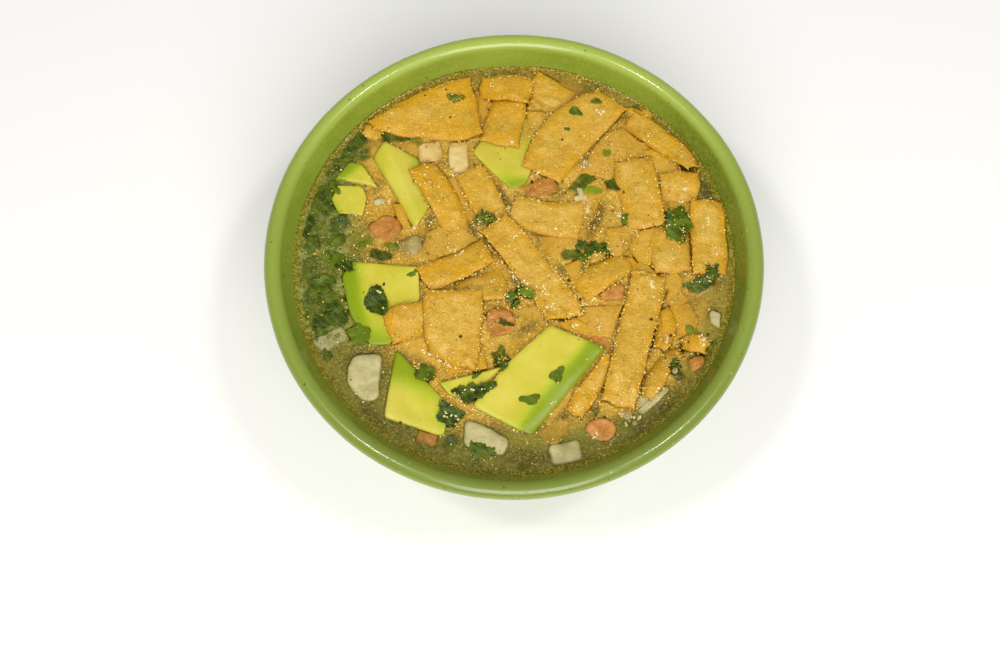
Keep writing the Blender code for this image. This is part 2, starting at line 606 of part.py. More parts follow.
def hull_mesh(name, points):
    bm = bmesh.new()
    for point in points:
        bm.verts.new(point)
    hull = bmesh.ops.convex_hull(bm, input=bm.verts)
    unused = set(hull["geom_interior"]) | set(hull["geom_unused"])
    loose = [item for item in unused if isinstance(item, bmesh.types.BMVert)]
    bmesh.ops.delete(bm, geom=loose, context="VERTS")
    bmesh.ops.dissolve_limit(bm, angle_limit=math.radians(2), verts=bm.verts, edges=bm.edges)
    return mesh_of(bm, name)


def lay_chunk(name, chunk, pile, parts, cutters, finish, edge):
    """A knife-cut chunk with its edges rounded, and the hollow that it makes in the broth."""
    points = chunk_points(chunk)
    obj = new_object(name, hull_mesh(name, points), parts, finish)
    bevel = obj.modifiers.new("soft edges", "BEVEL")
    bevel.width = edge * MM
    bevel.segments = 1
    bevel.limit_method = "ANGLE"
    bevel.angle_limit = math.radians(25)
    pile.lay(triangles(evaluated_mesh(obj)))
    middle = points.mean(0)
    half = np.abs(points - middle).max(0)
    room = middle + (points - middle) * (1 + CHUNK_HOLLOW_MARGIN / half)
    new_cutter(name, hull_mesh(name + "_hollow", room), cutters)


def fuse_scraps(name, scraps, pile, parts):
    """Joins the scraps of leaf that lie on a piece to it, by one union."""
    host = parts.objects[name]
    cells = SCRAP_CELLS
    u, v = grid_values(cells)
    flakes = new_collection(name + "_flakes")
    for number, scrap in enumerate(scraps):
        x, y = leaf_plan(scrap, u, v)
        height = pile.under(x, y, 2 * SCRAP_RISE)
        points = np.column_stack([x, y, height - SCRAP_SINK])
        mesh = sheet_mesh(f"{name}_flake_{number}", cells, points, height + SCRAP_RISE)
        new_object(f"{name}_flake_{number}", mesh, flakes)
    union = host.modifiers.new("leaf scraps", "BOOLEAN")
    union.operation = "UNION"
    union.operand_type = "COLLECTION"
    union.collection = flakes
    union.solver = "EXACT"
    joined = evaluated_mesh(host)
    host.modifiers.clear()
    joined.name = name
    joined.materials.clear()
    joined.materials.append(finish_material(name.split("_")[0]))
    host.data = joined
    for flake in list(flakes.objects):
        bpy.data.objects.remove(flake)
    bpy.data.collections.remove(flakes)
    pile.lay(triangles(joined))


def largest_body(mesh):
    """Drops every scrap of the mesh but its largest closed body."""
    bm = bmesh.new()
    bm.from_mesh(mesh)
    left, bodies = set(bm.verts), []
    while left:
        body, edge = set(), {left.pop()}
        while edge:
            body |= edge
            edge = {e.other_vert(v) for v in edge for e in v.link_edges} - body
        bodies.append(body)
        left -= body
    bodies.sort(key=len)
    bmesh.ops.delete(bm, geom=[v for body in bodies[:-1] for v in body], context="VERTS")
    bm.to_mesh(mesh)
    bm.free()


def make_broth(parts, cutters):
    """The broth fills the bowl to its level, and is cut round all that floats in it."""
    wall = [(max(r - GAP, 0.0), z + GAP) for r, z in inner_wall()]
    below = [point for point in wall if point[1] < LEVEL - 1]
    (low_r, low_z), (high_r, high_z) = below[-1], wall[len(below)]
    edge = low_r + (high_r - low_r) * (LEVEL - low_z) / (high_z - low_z)
    profile = [(0.0, LEVEL), (edge, LEVEL)] + below[::-1]
    broth = turned("broth", profile, parts, "broth")
    cut = broth.modifiers.new("food", "BOOLEAN")
    cut.operation = "DIFFERENCE"
    cut.operand_type = "COLLECTION"
    cut.collection = cutters
    cut.solver = "EXACT"
    mesh = evaluated_mesh(broth)
    broth.modifiers.clear()
    largest_body(mesh)
    mesh.materials.clear()
    mesh.materials.append(finish_material("broth"))
    mesh.name = "broth"
    broth.data = mesh


def main():
    clear_scene()
    parts = new_collection("tortilla_soup")
    cutters = new_collection("hollows")
    turned("bowl", bowl_profile(), parts, "glaze")
    pile = Pile()
    for finish, chunks, edge in (("avocado", AVOCADO, 0.8), ("onion", ONION, 0.7), ("tomato", TOMATO, 0.7)):
        for name, chunk in chunks.items():
            lay_chunk(name, chunk, pile, parts, cutters, finish, edge)
    fuse_scraps("avocado_chunk_7", SCRAPS["avocado_chunk_7"], pile, parts)
    for name, chip in CHIPS.items():
        lay_chip(name, chip, pile, parts, cutters)
        if name in SCRAPS:
            fuse_scraps(name, SCRAPS[name], pile, parts)
    for name, leaf in LEAVES.items():
        lay_leaf(name, leaf, pile, parts, cutters)
    make_broth(parts, cutters)


main()
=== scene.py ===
# The looks of a bowl of tortilla soup: glazed bowl, murky broth, fried strips, avocado, onion, tomato and
# leaves.
# Shapes are worked out in millimetres and put into meshes in metres. +X is right, +Y far, +Z up.
import math

import bpy
import numpy as np
from mathutils import Matrix, Vector


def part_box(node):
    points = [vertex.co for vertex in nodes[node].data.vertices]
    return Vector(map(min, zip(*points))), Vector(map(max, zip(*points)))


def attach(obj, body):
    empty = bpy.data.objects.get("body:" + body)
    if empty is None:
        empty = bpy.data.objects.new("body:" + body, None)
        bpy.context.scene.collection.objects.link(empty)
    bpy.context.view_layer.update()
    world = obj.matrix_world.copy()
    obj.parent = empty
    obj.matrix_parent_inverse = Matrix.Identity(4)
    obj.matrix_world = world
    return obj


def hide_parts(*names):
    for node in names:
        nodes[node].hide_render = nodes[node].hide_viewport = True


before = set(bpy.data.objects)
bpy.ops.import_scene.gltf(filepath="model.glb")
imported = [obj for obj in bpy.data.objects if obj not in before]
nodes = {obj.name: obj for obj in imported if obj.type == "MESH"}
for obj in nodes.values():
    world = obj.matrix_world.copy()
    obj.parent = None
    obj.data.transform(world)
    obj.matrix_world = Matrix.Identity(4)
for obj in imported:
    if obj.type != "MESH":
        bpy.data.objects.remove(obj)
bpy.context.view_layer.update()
mm = 0.001
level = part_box("broth")[1].z / mm  # height of the broth
print("frame loaded, broth level", round(level, 2))


# Noise and curves

noiseTable = np.random.default_rng(7).uniform(-1, 1, 8192)


# Random numbers on a cubic lattice of this cell, blended by a smoothstep between its corners: -1 to 1
def smoothNoise(points, cell, seed=0):
    scaled = np.asarray(points, float) / cell + 517.31
    corner = np.floor(scaled).astype(np.int64)
    blend = scaled - corner
    blend = blend * blend * (3 - 2 * blend)
    total = np.zeros(scaled.shape[:-1])
    for dx in (0, 1):
        for dy in (0, 1):
            for dz in (0, 1):
                mixed = (corner[..., 0] + dx) * 73856093
                mixed = mixed ^ ((corner[..., 1] + dy) * 19349663)
                mixed = mixed ^ ((corner[..., 2] + dz) * 83492791) ^ ((seed + 1) * 265443577)
                weight = blend[..., 0] if dx else 1 - blend[..., 0]
                weight = weight * (blend[..., 1] if dy else 1 - blend[..., 1])
                weight = weight * (blend[..., 2] if dz else 1 - blend[..., 2])
                total += weight * noiseTable[mixed & 8191]
    return total


# The sum of noises, each layer a (cell, height) pair
def relief(points, layers, seed=0):
    total = np.zeros(np.asarray(points).shape[:-1])
    for number, (cell, height) in enumerate(layers):
        total += height * smoothNoise(points, cell, seed + 31 * number)
    return total


# Rows of values as dictionaries, keyed by the columns' names
def table(columns, rows):
    return [dict(zip(columns.split(), row)) for row in rows]


def flat(x, y):
    return np.stack([x, y, np.zeros_like(x)], axis=-1)


def smoothStep(value, low, high):
    share = np.clip((value - low) / (high - low), 0, 1)
    return share * share * (3 - 2 * share)


# How far right of its place in the CAD the food shows in the photo: about 1 mm, and 2 mm by the right wall
driftLook = dict(least=0.8, more=1.1, begin=-20, end=55)


def drift(x):
    return driftLook["least"] + driftLook["more"] * smoothStep(x, driftLook["begin"], driftLook["end"])


def drifted(shape):
    shape["points"][:, 0] += drift(shape["points"][:, 0])
    return shape


# A smooth curve through points (Catmull-Rom), walked at an even pace: share 0 is its start, 1 its end
def curveThrough(points, share, closed=False):
    points = np.asarray(points, float)
    count = len(points) if closed else len(points) - 1
    if closed:
        ring = np.vstack([points[-1:], points, points[:2]])
    else:
        ring = np.vstack([2 * points[0] - points[1], points, 2 * points[-1] - points[-2]])
    pace = np.linspace(0, count, count * 24 + 1)
    i = np.minimum(pace.astype(int), count - 1)
    f = (pace - i)[:, None]
    a, b, c, d = ring[i], ring[i + 1], ring[i + 2], ring[i + 3]
    dense = 0.5 * (2 * b + (c - a) * f + (2 * a - 5 * b + 4 * c - d) * f**2 + (3 * b - a - 3 * c + d) * f**3)
    walked = np.concatenate([[0], np.cumsum(np.linalg.norm(np.diff(dense, axis=0), axis=1))])
    wanted = np.asarray(share) * walked[-1]
    return np.column_stack([np.interp(wanted, walked, dense[:, k]) for k in range(dense.shape[1])])


# Reading CAD nodes

# A node's welded corners in mm and its triangles
def nodeShape(name):
    mesh = nodes[name].data
    points = np.empty(len(mesh.vertices) * 3, dtype=np.float32)
    mesh.vertices.foreach_get("co", points)
    mesh.calc_loop_triangles()
    corners = np.empty(len(mesh.loop_triangles) * 3, dtype=np.int32)
    mesh.loop_triangles.foreach_get("vertices", corners)
    points, index = np.unique(np.round(points.reshape(-1, 3) / mm, 3), axis=0, return_inverse=True)
    faces = index.ravel()[corners].reshape(-1, 3)
    whole = (faces[:, 0] != faces[:, 1]) & (faces[:, 1] != faces[:, 2]) & (faces[:, 2] != faces[:, 0])
    return points.astype(float), faces[whole]


def faceNormals(points, faces):
    a, b, c = (points[faces[:, k]] for k in range(3))
    cross = np.cross(b - a, c - a)
    size = np.linalg.norm(cross, axis=1)
    return cross / np.maximum(size, 1e-12)[:, None], size / 2


# The corners round a patch of triangles, in order
def rimOf(faces):
    sides = np.vstack([faces[:, [0, 1]], faces[:, [1, 2]], faces[:, [2, 0]]])
    edges = {tuple(edge) for edge in sides.tolist()}
    ahead = {a: b for a, b in edges if (b, a) not in edges}
    loop = [min(ahead)]
    while ahead[loop[-1]] != loop[0] and len(loop) <= len(ahead):
        loop.append(ahead[loop[-1]])
    return loop


# The lower face of a thin node, with its outline seen from above, anticlockwise
def underside(name):
    points, faces = nodeShape(name)
    normals, _ = faceNormals(points, faces)
    lower = faces[normals[:, 2] < -0.3]
    return points, lower, points[rimOf(lower)[::-1]][:, :2]


# The height of a patch at each place: the mean of the corners of the triangle that holds it, weighted by
# its areal coordinates, or of the triangle it is least outside of
def heightOn(points, faces, x, y):
    place = np.column_stack([x.ravel(), y.ravel()])[:, None, :]
    a, b, c = (points[faces[:, k]] for k in range(3))
    ab, ac = (b - a)[:, :2], (c - a)[:, :2]
    area = ab[:, 0] * ac[:, 1] - ab[:, 1] * ac[:, 0]
    area = np.where(np.abs(area) < 1e-9, 1e-9, area)
    to = place - a[None, :, :2]
    s = (to[..., 0] * ac[:, 1] - to[..., 1] * ac[:, 0]) / area
    t = (ab[:, 0] * to[..., 1] - ab[:, 1] * to[..., 0]) / area
    best = np.argmax(np.minimum(np.minimum(s, t), 1 - s - t), axis=1)
    row = np.arange(len(best))
    s, t = s[row, best], t[row, best]
    height = a[best, 2] + s * (b - a)[best, 2] + t * (c - a)[best, 2]
    return height.reshape(x.shape)


# Shapes: each is a dictionary of points in mm, faces, and marks, which are numbers for each point

def shapeOf(points, faces, **marks):
    faces = faces if isinstance(faces, list) else [faces]
    volume = 0.0
    for group in faces:
        for k in range(1, group.shape[1] - 1):
            a, b, c = points[group[:, 0]], points[group[:, k]], points[group[:, k + 1]]
            volume += float((a * np.cross(b, c)).sum())
    if volume < 0:
        faces = [group[:, ::-1] for group in faces]
    return dict(points=points, faces=faces, marks=marks)


def joined(shapes):
    points, faces, marks = [], [], {name: [] for name in shapes[0]["marks"]}
    start = 0
    for shape in shapes:
        points.append(shape["points"])
        faces += [group + start for group in shape["faces"]]
        for name in marks:
            marks[name].append(shape["marks"][name])
        start += len(shape["points"])
    marks = {name: np.concatenate(values) for name, values in marks.items()}
    return dict(points=np.vstack(points), faces=faces, marks=marks)


def makePiece(name, shape, material, standsFor=()):
    mesh = bpy.data.meshes.new(name)
    corners = np.concatenate([group.ravel() for group in shape["faces"]]).astype(np.int32)
    sizes = np.concatenate([np.full(len(group), group.shape[1]) for group in shape["faces"]])
    mesh.vertices.add(len(shape["points"]))
    mesh.vertices.foreach_set("co", (shape["points"] * mm).astype(np.float32).ravel())
    mesh.loops.add(len(corners))
    mesh.loops.foreach_set("vertex_index", corners)
    mesh.polygons.add(len(sizes))
    mesh.polygons.foreach_set("loop_start", np.concatenate([[0], np.cumsum(sizes)[:-1]]).astype(np.int32))
    mesh.update(calc_edges=True)
    mesh.polygons.foreach_set("use_smooth", np.ones(len(sizes), dtype=bool))
    for mark, values in shape["marks"].items():
        layer = mesh.attributes.new(mark, "FLOAT", "POINT")
        layer.data.foreach_set("value", np.asarray(values, dtype=np.float32))
    mesh.materials.append(material)
    piece = bpy.data.objects.new(name, mesh)
    bpy.context.scene.collection.objects.link(piece)
    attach(piece, "root")
    if standsFor:
        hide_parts(*standsFor)
    return piece


# Shares along a length: close together within an edge of each end, a step apart between
def paces(length, step, edge):
    near = np.array([0, 0.1, 0.3, 0.6]) * edge
    count = max(3, round((length - 2 * edge) / step) + 1)
    return np.concatenate([near, np.linspace(edge, length - edge, count), length - near[::-1]]) / length


# Half the thickness of a soft-edged slab at a distance from its outline: a quarter circle, then level
def softEdge(distance, edge):
    share = np.clip(distance / edge, 0, 1)
    return np.sqrt(1 - (1 - share) ** 2)


# The quads of a grid of corners
def gridQuads(grid):
    return np.stack([grid[:-1, :-1], grid[1:, :-1], grid[1:, 1:], grid[:-1, 1:]], axis=-1).reshape(-1, 4)


# The quads of rows of corners that are each closed into a ring
def ringQuads(rings):
    return gridQuads(np.hstack([rings, rings[:, :1]]))


# The triangles from one corner to a ring
def fan(hub, ring):
    return np.column_stack([np.full(len(ring), hub), ring, np.roll(ring, -1)])


# Rings of corners one below the other, closed at the top and the bottom by the two corners that follow them
def barrelFaces(rings, steps):
    grid = np.arange(rings * steps).reshape(rings, steps)
    return [ringQuads(grid), fan(grid.size, grid[0]), fan(grid.size + 1, grid[-1])[:, [0, 2, 1]]]


# A closed slab on a grid: its middle plus and minus half its thickness, joined along its outline
def slabShape(x, y, upper, lower, **marks):
    rows, columns = x.shape
    top = np.arange(rows * columns).reshape(rows, columns)
    bottom = top.copy()
    bottom[1:-1, 1:-1] = rows * columns + np.arange((rows - 2) * (columns - 2)).reshape(rows - 2, -1)
    inside = (slice(1, -1), slice(1, -1))
    points = np.vstack([
        np.column_stack([x.ravel(), y.ravel(), upper.ravel()]),
        np.column_stack([x[inside].ravel(), y[inside].ravel(), lower[inside].ravel()]),
    ])
    both = {name: np.concatenate([values.ravel(), values[inside].ravel()]) for name, values in marks.items()}
    return shapeOf(points, [gridQuads(top), gridQuads(bottom[:, ::-1])], **both)


# Each point of a grid drawn towards the mean of its four neighbours, a number of times
def evened(grid, times):
    for _ in range(times):
        padded = np.pad(grid, 1, mode="reflect", reflect_type="odd")
        around = padded[:-2, 1:-1] + padded[2:, 1:-1] + padded[1:-1, :-2] + padded[1:-1, 2:]
        grid = 0.5 * grid + 0.125 * around
    return grid


# Tortilla strips

tortilla = dict(
    thickness=1.35, grown=0.65, edge=1.05, step=0.62, evening=4, corner=1.1,
    ragged=((6.0, 0.42), (2.4, 0.17), (0.9, 0.06)),
    waves=((9.0, 0.36), (3.6, 0.24), (1.5, 0.12), (0.8, 0.06)),
    blister=0.5, blisterCell=4.6, blisterRise=(0.25, 0.6), blisterReach=(0.5, 2.0), waveReach=(-0.6, 1.4),
    lowerLift=0.5, droop=0.55, drooping=(-0.5, 2.4), cornerLength=2.2, cornerPower=5, cornerWide=0.5,
)
plainTone = 0.35
# How deep orange each strip is, from 0 pale to 1, where it isn't plainTone
stripTone = {
    "tortilla_strip_01": 0.25, "tortilla_strip_04": 0.75, "tortilla_strip_06": 0.55,
    "tortilla_strip_12": 0.85, "tortilla_strip_18": 0.7, "tortilla_strip_20": 0.75,
    "tortilla_strip_21": 0.8, "tortilla_strip_22": 0.5, "tortilla_strip_23": 0.35,
    "tortilla_strip_17": 0.25, "tortilla_strip_26": 0.7, "tortilla_strip_24": 0.2,
    "tortilla_strip_25": 0.3, "tortilla_strip_10": 0.6, "tortilla_strip_05": 0.15,
    "tortilla_strip_02": 0.1, "tortilla_strip_19": 0.35, "tortilla_strip_15": 0.5,
    "tortilla_strip_13": 0.5, "tortilla_strip_07": 0.2, "tortilla_strip_03": 0.3,
}


# The four sides of a strip's outline, parted at its sharpest turns, the first a long one
def foursides(outline):
    ahead = np.roll(outline, -1, axis=0) - outline
    behind = outline - np.roll(outline, 1, axis=0)
    turn = np.arctan2(behind[:, 0] * ahead[:, 1] - behind[:, 1] * ahead[:, 0], (ahead * behind).sum(1))
    corners = np.sort(np.argsort(-turn)[:4])
    ends = np.append(corners, corners[0] + len(outline))
    sides = [outline[np.arange(ends[k], ends[k + 1] + 1) % len(outline)] for k in range(4)]
    lengths = [np.linalg.norm(np.diff(side, axis=0), axis=1).sum() for side in sides]
    if lengths[0] + lengths[2] < lengths[1] + lengths[3]:
        sides, lengths = sides[1:] + sides[:1], lengths[1:] + lengths[:1]
    return sides, lengths


# An anticlockwise outline moved outwards along its own normals
def grown(outline, distance):
    along = np.roll(outline, -1, axis=0) - np.roll(outline, 1, axis=0)
    outward = np.column_stack([along[:, 1], -along[:, 0]]) / np.linalg.norm(along, axis=1)[:, None]
    return outline + distance * outward


# A strip is a Coons patch between the four sides of its outline: the blend of opposite sides both ways,
# less the blend of its corners. Its middle lies at heightAt, and it swells to its thickness from its outline.
def stripShape(outline, heightAt, seed, tone):
    size = tortilla
    sides, lengths = foursides(outline)
    long, wide = (lengths[0] + lengths[2]) / 2, (lengths[1] + lengths[3]) / 2
    u, v = paces(long, size["step"], size["edge"]), paces(wide, size["step"], size["edge"])
    first, second = curveThrough(sides[0], u), curveThrough(sides[2][::-1], u)
    start, end = curveThrough(sides[3][::-1], v), curveThrough(sides[1], v)
    s, t = u[:, None, None], v[None, :, None]
    plan = (1 - t) * first[:, None] + t * second[:, None] + (1 - s) * start[None] + s * end[None]
    plan -= (1 - s) * (1 - t) * first[0] + s * (1 - t) * first[-1]
    plan -= (1 - s) * t * second[0] + s * t * second[-1]
    along = plan[-1].mean(0) - plan[0].mean(0)
    along = along / np.linalg.norm(along)
    across = np.array([-along[1], along[0]])
    towardsEnd, towardsSide = 2 * s - 1, 2 * t - 1
    corner = np.abs(towardsEnd) ** (long / size["cornerLength"]) * np.abs(towardsSide) ** size["cornerPower"]
    outward = np.sign(towardsEnd) * along + size["cornerWide"] * np.sign(towardsSide) * across
    plan = plan + size["corner"] * corner * outward
    x, y = plan[..., 0], plan[..., 1]
    x, y = x + relief(flat(x, y), size["ragged"], seed), y + relief(flat(x, y), size["ragged"], seed + 500)
    width = np.linalg.norm(second - first, axis=1)[:, None]
    reach = np.minimum(np.minimum(s, 1 - s)[..., 0] * long, np.minimum(t, 1 - t)[..., 0] * width)
    middle = evened(heightAt(x, y), size["evening"])
    middle = middle - size["droop"] * (1 - smoothStep(reach, *size["drooping"]))
    half = softEdge(reach, size["edge"]) * size["thickness"] / 2
    blister = smoothStep(smoothNoise(flat(x, y), size["blisterCell"], seed + 90), *size["blisterRise"])
    blister = blister * smoothStep(reach, *size["blisterReach"])
    lift = relief(flat(x, y), size["waves"], seed + 7) * smoothStep(reach, *size["waveReach"])
    lift = lift + size["blister"] * blister
    upper = middle + half + lift
    lower = middle - half + lift * size["lowerLift"]
    return slabShape(x, y, upper, lower, reach=reach, blister=blister, tone=np.full(x.shape, tone))


strips = {}
for number in range(1, 27):
    name = f"tortilla_strip_{number:02d}"
    points, lower, outline = underside(name)

    def heightAt(x, y):
        return heightOn(points, lower, x, y) + tortilla["thickness"] / 2

    outline = grown(outline, tortilla["grown"])
    strips[name] = drifted(stripShape(outline, heightAt, number * 11, stripTone.get(name, plainTone)))
print("strips shaped", sum(len(shape["points"]) for shape in strips.values()))


# Cut chunks of avocado, onion and tomato

chunkLook = {
    "avocado": dict(sharp=46, cells=34, bumps=((9.0, 0.22), (3.5, 0.08), (1.2, 0.025))),
    "onion": dict(sharp=6, cells=26, bumps=((4.0, 0.5), (1.6, 0.2), (0.7, 0.05))),
    "tomato": dict(sharp=10, cells=26, bumps=((3.4, 0.55), (1.4, 0.26), (0.6, 0.07))),
}
# Where the flesh of each avocado chunk turns green: an angle seen from above, the shares of the half
# width between which it turns, and how green
greenSides = {
    "avocado_chunk_1": [(23, 0.2, 1.1, 0.55), (203, 0.45, 1.2, 0.45)],
    "avocado_chunk_2": [(128, 0.1, 0.95, 1.0)],
    "avocado_chunk_3": [(205, 0.5, 1.2, 0.6), (150, 0.6, 1.2, 0.4)],
    "avocado_chunk_4": [(-82, 0.55, 1.0, 0.8), (48, 0.35, 1.1, 0.6)],
    "avocado_chunk_5": [(188, 0.1, 0.9, 1.0), (255, 0.3, 1.0, 0.9)],
    "avocado_chunk_6": [(72, -0.4, 0.8, 0.9), (0, 0.3, 1.1, 0.5)],
    "avocado_chunk_7": [(-39, 0.1, 0.85, 1.0), (-95, 0.4, 1.1, 0.6)],
    "avocado_chunk_8": [(200, 0.4, 1.2, 0.5)],
}
# Chunks whose upper facets run softly into each other, and how sharply their planes meet
softChunks = {"avocado_chunk_4": 15, "avocado_chunk_6": 18, "avocado_chunk_1": 20, "avocado_chunk_2": 22}
greenWaver = dict(cell=9.0, amount=0.14)
# The crown marks faces turned up; onion and tomato faces outside it get painted shade on their sides
crownFacing = (0.35, 0.97)  # the upward share of the normal between which a face becomes part of the crown


# Directions through a cube's surface, close to even, and the quads between them
def cubeSphere(cells):
    line = np.tan(np.linspace(-math.pi / 4, math.pi / 4, cells + 1))
    a, b = np.meshgrid(line, line, indexing="ij")
    quads = gridQuads(np.arange(a.size).reshape(a.shape))
    places, faces = [], []
    for axis in range(3):
        for sign in (1, -1):
            side = np.empty((a.size, 3))
            side[:, axis] = sign
            side[:, (axis + 1) % 3] = (a if sign > 0 else b).ravel()
            side[:, (axis + 2) % 3] = (b if sign > 0 else a).ravel()
            faces.append(quads + len(faces) * len(side))
            places.append(side)
    points, index = np.unique(np.round(np.vstack(places), 6), axis=0, return_inverse=True)
    return points / np.linalg.norm(points, axis=1)[:, None], index.ravel()[np.vstack(faces)]


spheres = {cells: cubeSphere(cells) for cells in {look["cells"] for look in chunkLook.values()}}


# The broad faces of a node, as outward normals and a point on each; bevels and scraps are too small to count
def broadFaces(name):
    points, faces = nodeShape(name)
    normals, areas = faceNormals(points, faces)
    middles = points[faces].mean(1)
    kept = []
    for k in np.argsort(-areas):
        for group in kept:
            offset = abs((middles[k] - group[1]) @ group[0])
            if normals[k] @ group[0] > math.cos(math.radians(7)) and offset < 0.4:
                group[2] += areas[k]
                break
        else:
            kept.append([normals[k], middles[k], areas[k]])
    kept = [group for group in kept if group[2] > 0.022 * areas.sum()]
    return np.array([g[0] for g in kept]), np.array([g[1] for g in kept]), points.min(0), points.max(0)


# A chunk with planes rounded into each other: along each direction d from its middle its surface lies at
# d over the p-norm of (normal . d) / (distance of plane). Relief moves it along the blended normal.
def chunkShape(kind, normals, places, low, high, seed, greens=(), sharp=None, tone=0.3):
    look = chunkLook[kind]
    sharp = sharp or look["sharp"]
    directions, faces = spheres[look["cells"]]
    middle, half = (low + high) / 2, (high - low) / 2
    distance = np.maximum(((places - middle) * normals).sum(1), 0.3)
    ray = directions * half
    share = np.maximum(ray @ normals.T / distance, 0)
    most = share.max(1, keepdims=True)
    norm = most * ((share / most) ** sharp).sum(1, keepdims=True) ** (1 / sharp)
    weight = (share / most) ** (sharp - 1) / distance
    outward = weight @ normals
    outward /= np.linalg.norm(outward, axis=1)[:, None]
    points = middle + ray / norm
    points = points + outward * relief(points, look["bumps"], seed)[:, None]
    skin = np.zeros(len(points))
    for angle, begin, finish, amount in greens:
        across = points[:, 0] * math.cos(math.radians(angle)) + points[:, 1] * math.sin(math.radians(angle))
        span = (across - (across.max() + across.min()) / 2) / (np.ptp(across) / 2)
        span = span + greenWaver["amount"] * smoothNoise(points, greenWaver["cell"], seed + 3)
        skin = np.maximum(skin, amount * smoothStep(span, begin, finish))
    crown = smoothStep(outward[:, 2], *crownFacing)
    return shapeOf(points, faces, skin=skin, crown=crown, tone=np.full(len(points), float(tone)))


chunks = {}
for kind, count in (("avocado", 8), ("onion", 6), ("tomato", 5)):
    stem = {"avocado": "avocado_chunk_", "onion": "onion_cube_", "tomato": "tomato_cube_"}[kind]
    for number in range(1, count + 1):
        name = f"{stem}{number}"
        seed, greens = number * 13 + len(kind), greenSides.get(name, ())
        chunks[name] = drifted(chunkShape(kind, *broadFaces(name), seed, greens, softChunks.get(name)))
print("chunks shaped", sum(len(shape["points"]) for shape in chunks.values()))


# Leaves

leaf = dict(
    thickness=0.4, edge=0.3, teeth=0.36, toothLength=1.5, ragged=((3.2, 0.6), (1.3, 0.45), (0.6, 0.2)),
    folds=((5.0, 0.5), (2.2, 0.34), (0.9, 0.12)), step=0.34, grown=0.3, rise=0.3, scrapRough=0.35,
    plainTone=0.45,
)
ringShares = np.array([0.12, 0.24, 0.36, 0.48, 0.58, 0.68, 0.77, 0.85, 0.91, 0.95, 0.98, 1.0])


# A thin sheet inside a closed outline: rings drawn from its middle to the outline, where top and bottom
# are joined
def discShape(outline, heightAt, thickness, edge, folds, seed, tone):
    middle = outline.mean(0)
    turns = len(outline)
    plan = middle + ringShares[:, None, None] * (outline - middle)
    x, y = plan[..., 0], plan[..., 1]
    reach = (1 - ringShares)[:, None] * np.linalg.norm(outline - middle, axis=1)[None]
    x = np.append(x.ravel(), middle[0])
    y = np.append(y.ravel(), middle[1])
    reach = np.append(reach.ravel(), np.linalg.norm(outline - middle, axis=1).mean())
    half = softEdge(reach, edge) * thickness / 2
    height = heightAt(x, y) + relief(flat(x, y), folds, seed)
    rings = len(ringShares)
    count = rings * turns + 1
    top = np.arange(rings * turns).reshape(rings, turns)
    bottom = np.where(np.arange(rings)[:, None] == rings - 1, top, top + count)
    faces = []
    for grid, hub, order in ((top, count - 1, 1), (bottom, 2 * count - 1, -1)):
        faces += [ringQuads(grid)[:, ::order], fan(hub, grid[0])[:, ::order]]
    points = np.vstack([np.column_stack([x, y, height + half]), np.column_stack([x, y, height - half])])
    used = np.ones(2 * count, dtype=bool)
    used[count + (rings - 1) * turns:2 * count - 1] = False  # the lower outline is the upper one's
    index = np.cumsum(used) - 1
    marks = dict(reach=np.tile(reach, 2)[used], tone=np.full(used.sum(), tone))
    return shapeOf(points[used], [index[group] for group in faces], **marks)


# A smooth outline through corners, then nibbled by noise along its own normal, deeper where teeth is more
def raggedOutline(corners, step, teeth, ragged, seed):
    length = np.linalg.norm(np.diff(np.vstack([corners, corners[:1]]), axis=0), axis=1).sum()
    turns = max(24, int(length / step))
    outline = curveThrough(corners, np.arange(turns) / turns, closed=True)
    along = np.roll(outline, -1, axis=0) - np.roll(outline, 1, axis=0)
    normal = np.column_stack([along[:, 1], -along[:, 0]]) / np.linalg.norm(along, axis=1)[:, None]
    bite = relief(flat(outline[:, 0], outline[:, 1]), ragged, seed)
    saw = np.abs(np.mod(np.arange(turns) * step / leaf["toothLength"], 1) - 0.5) * 2 - 0.5
    return outline + normal * (bite + teeth * saw)[:, None]


# A leaf within an outline; rough scales its folds and its nibbled edge
def leafShape(corners, heightAt, seed, tone=0.5, rough=1.0):
    ragged = [(cell, height * rough) for cell, height in leaf["ragged"]]
    folds = [(cell, height * rough) for cell, height in leaf["folds"]]
    outline = raggedOutline(corners, leaf["step"], leaf["teeth"] * rough, ragged, seed)
    return discShape(outline, heightAt, leaf["thickness"], leaf["edge"], folds, seed, tone)


leafTone = {
    "cilantro_leaf_02": 0.9, "cilantro_leaf_07": 0.75, "cilantro_leaf_03": 0.6, "cilantro_leaf_04": 0.3,
    "cilantro_leaf_05": 0.2, "cilantro_leaf_01": 0.15, "cilantro_leaf_12": 0.1, "cilantro_leaf_11": 0.25,
}
# How many lobes each leaf has, and how deep they are cut
leafCut = {
    1: (3, 0.2), 2: (6, 0.14), 3: (5, 0.2), 4: (5, 0.26), 5: (4, 0.26), 6: (5, 0.3), 9: (7, 0.12),
    13: (3, 0.2),
}
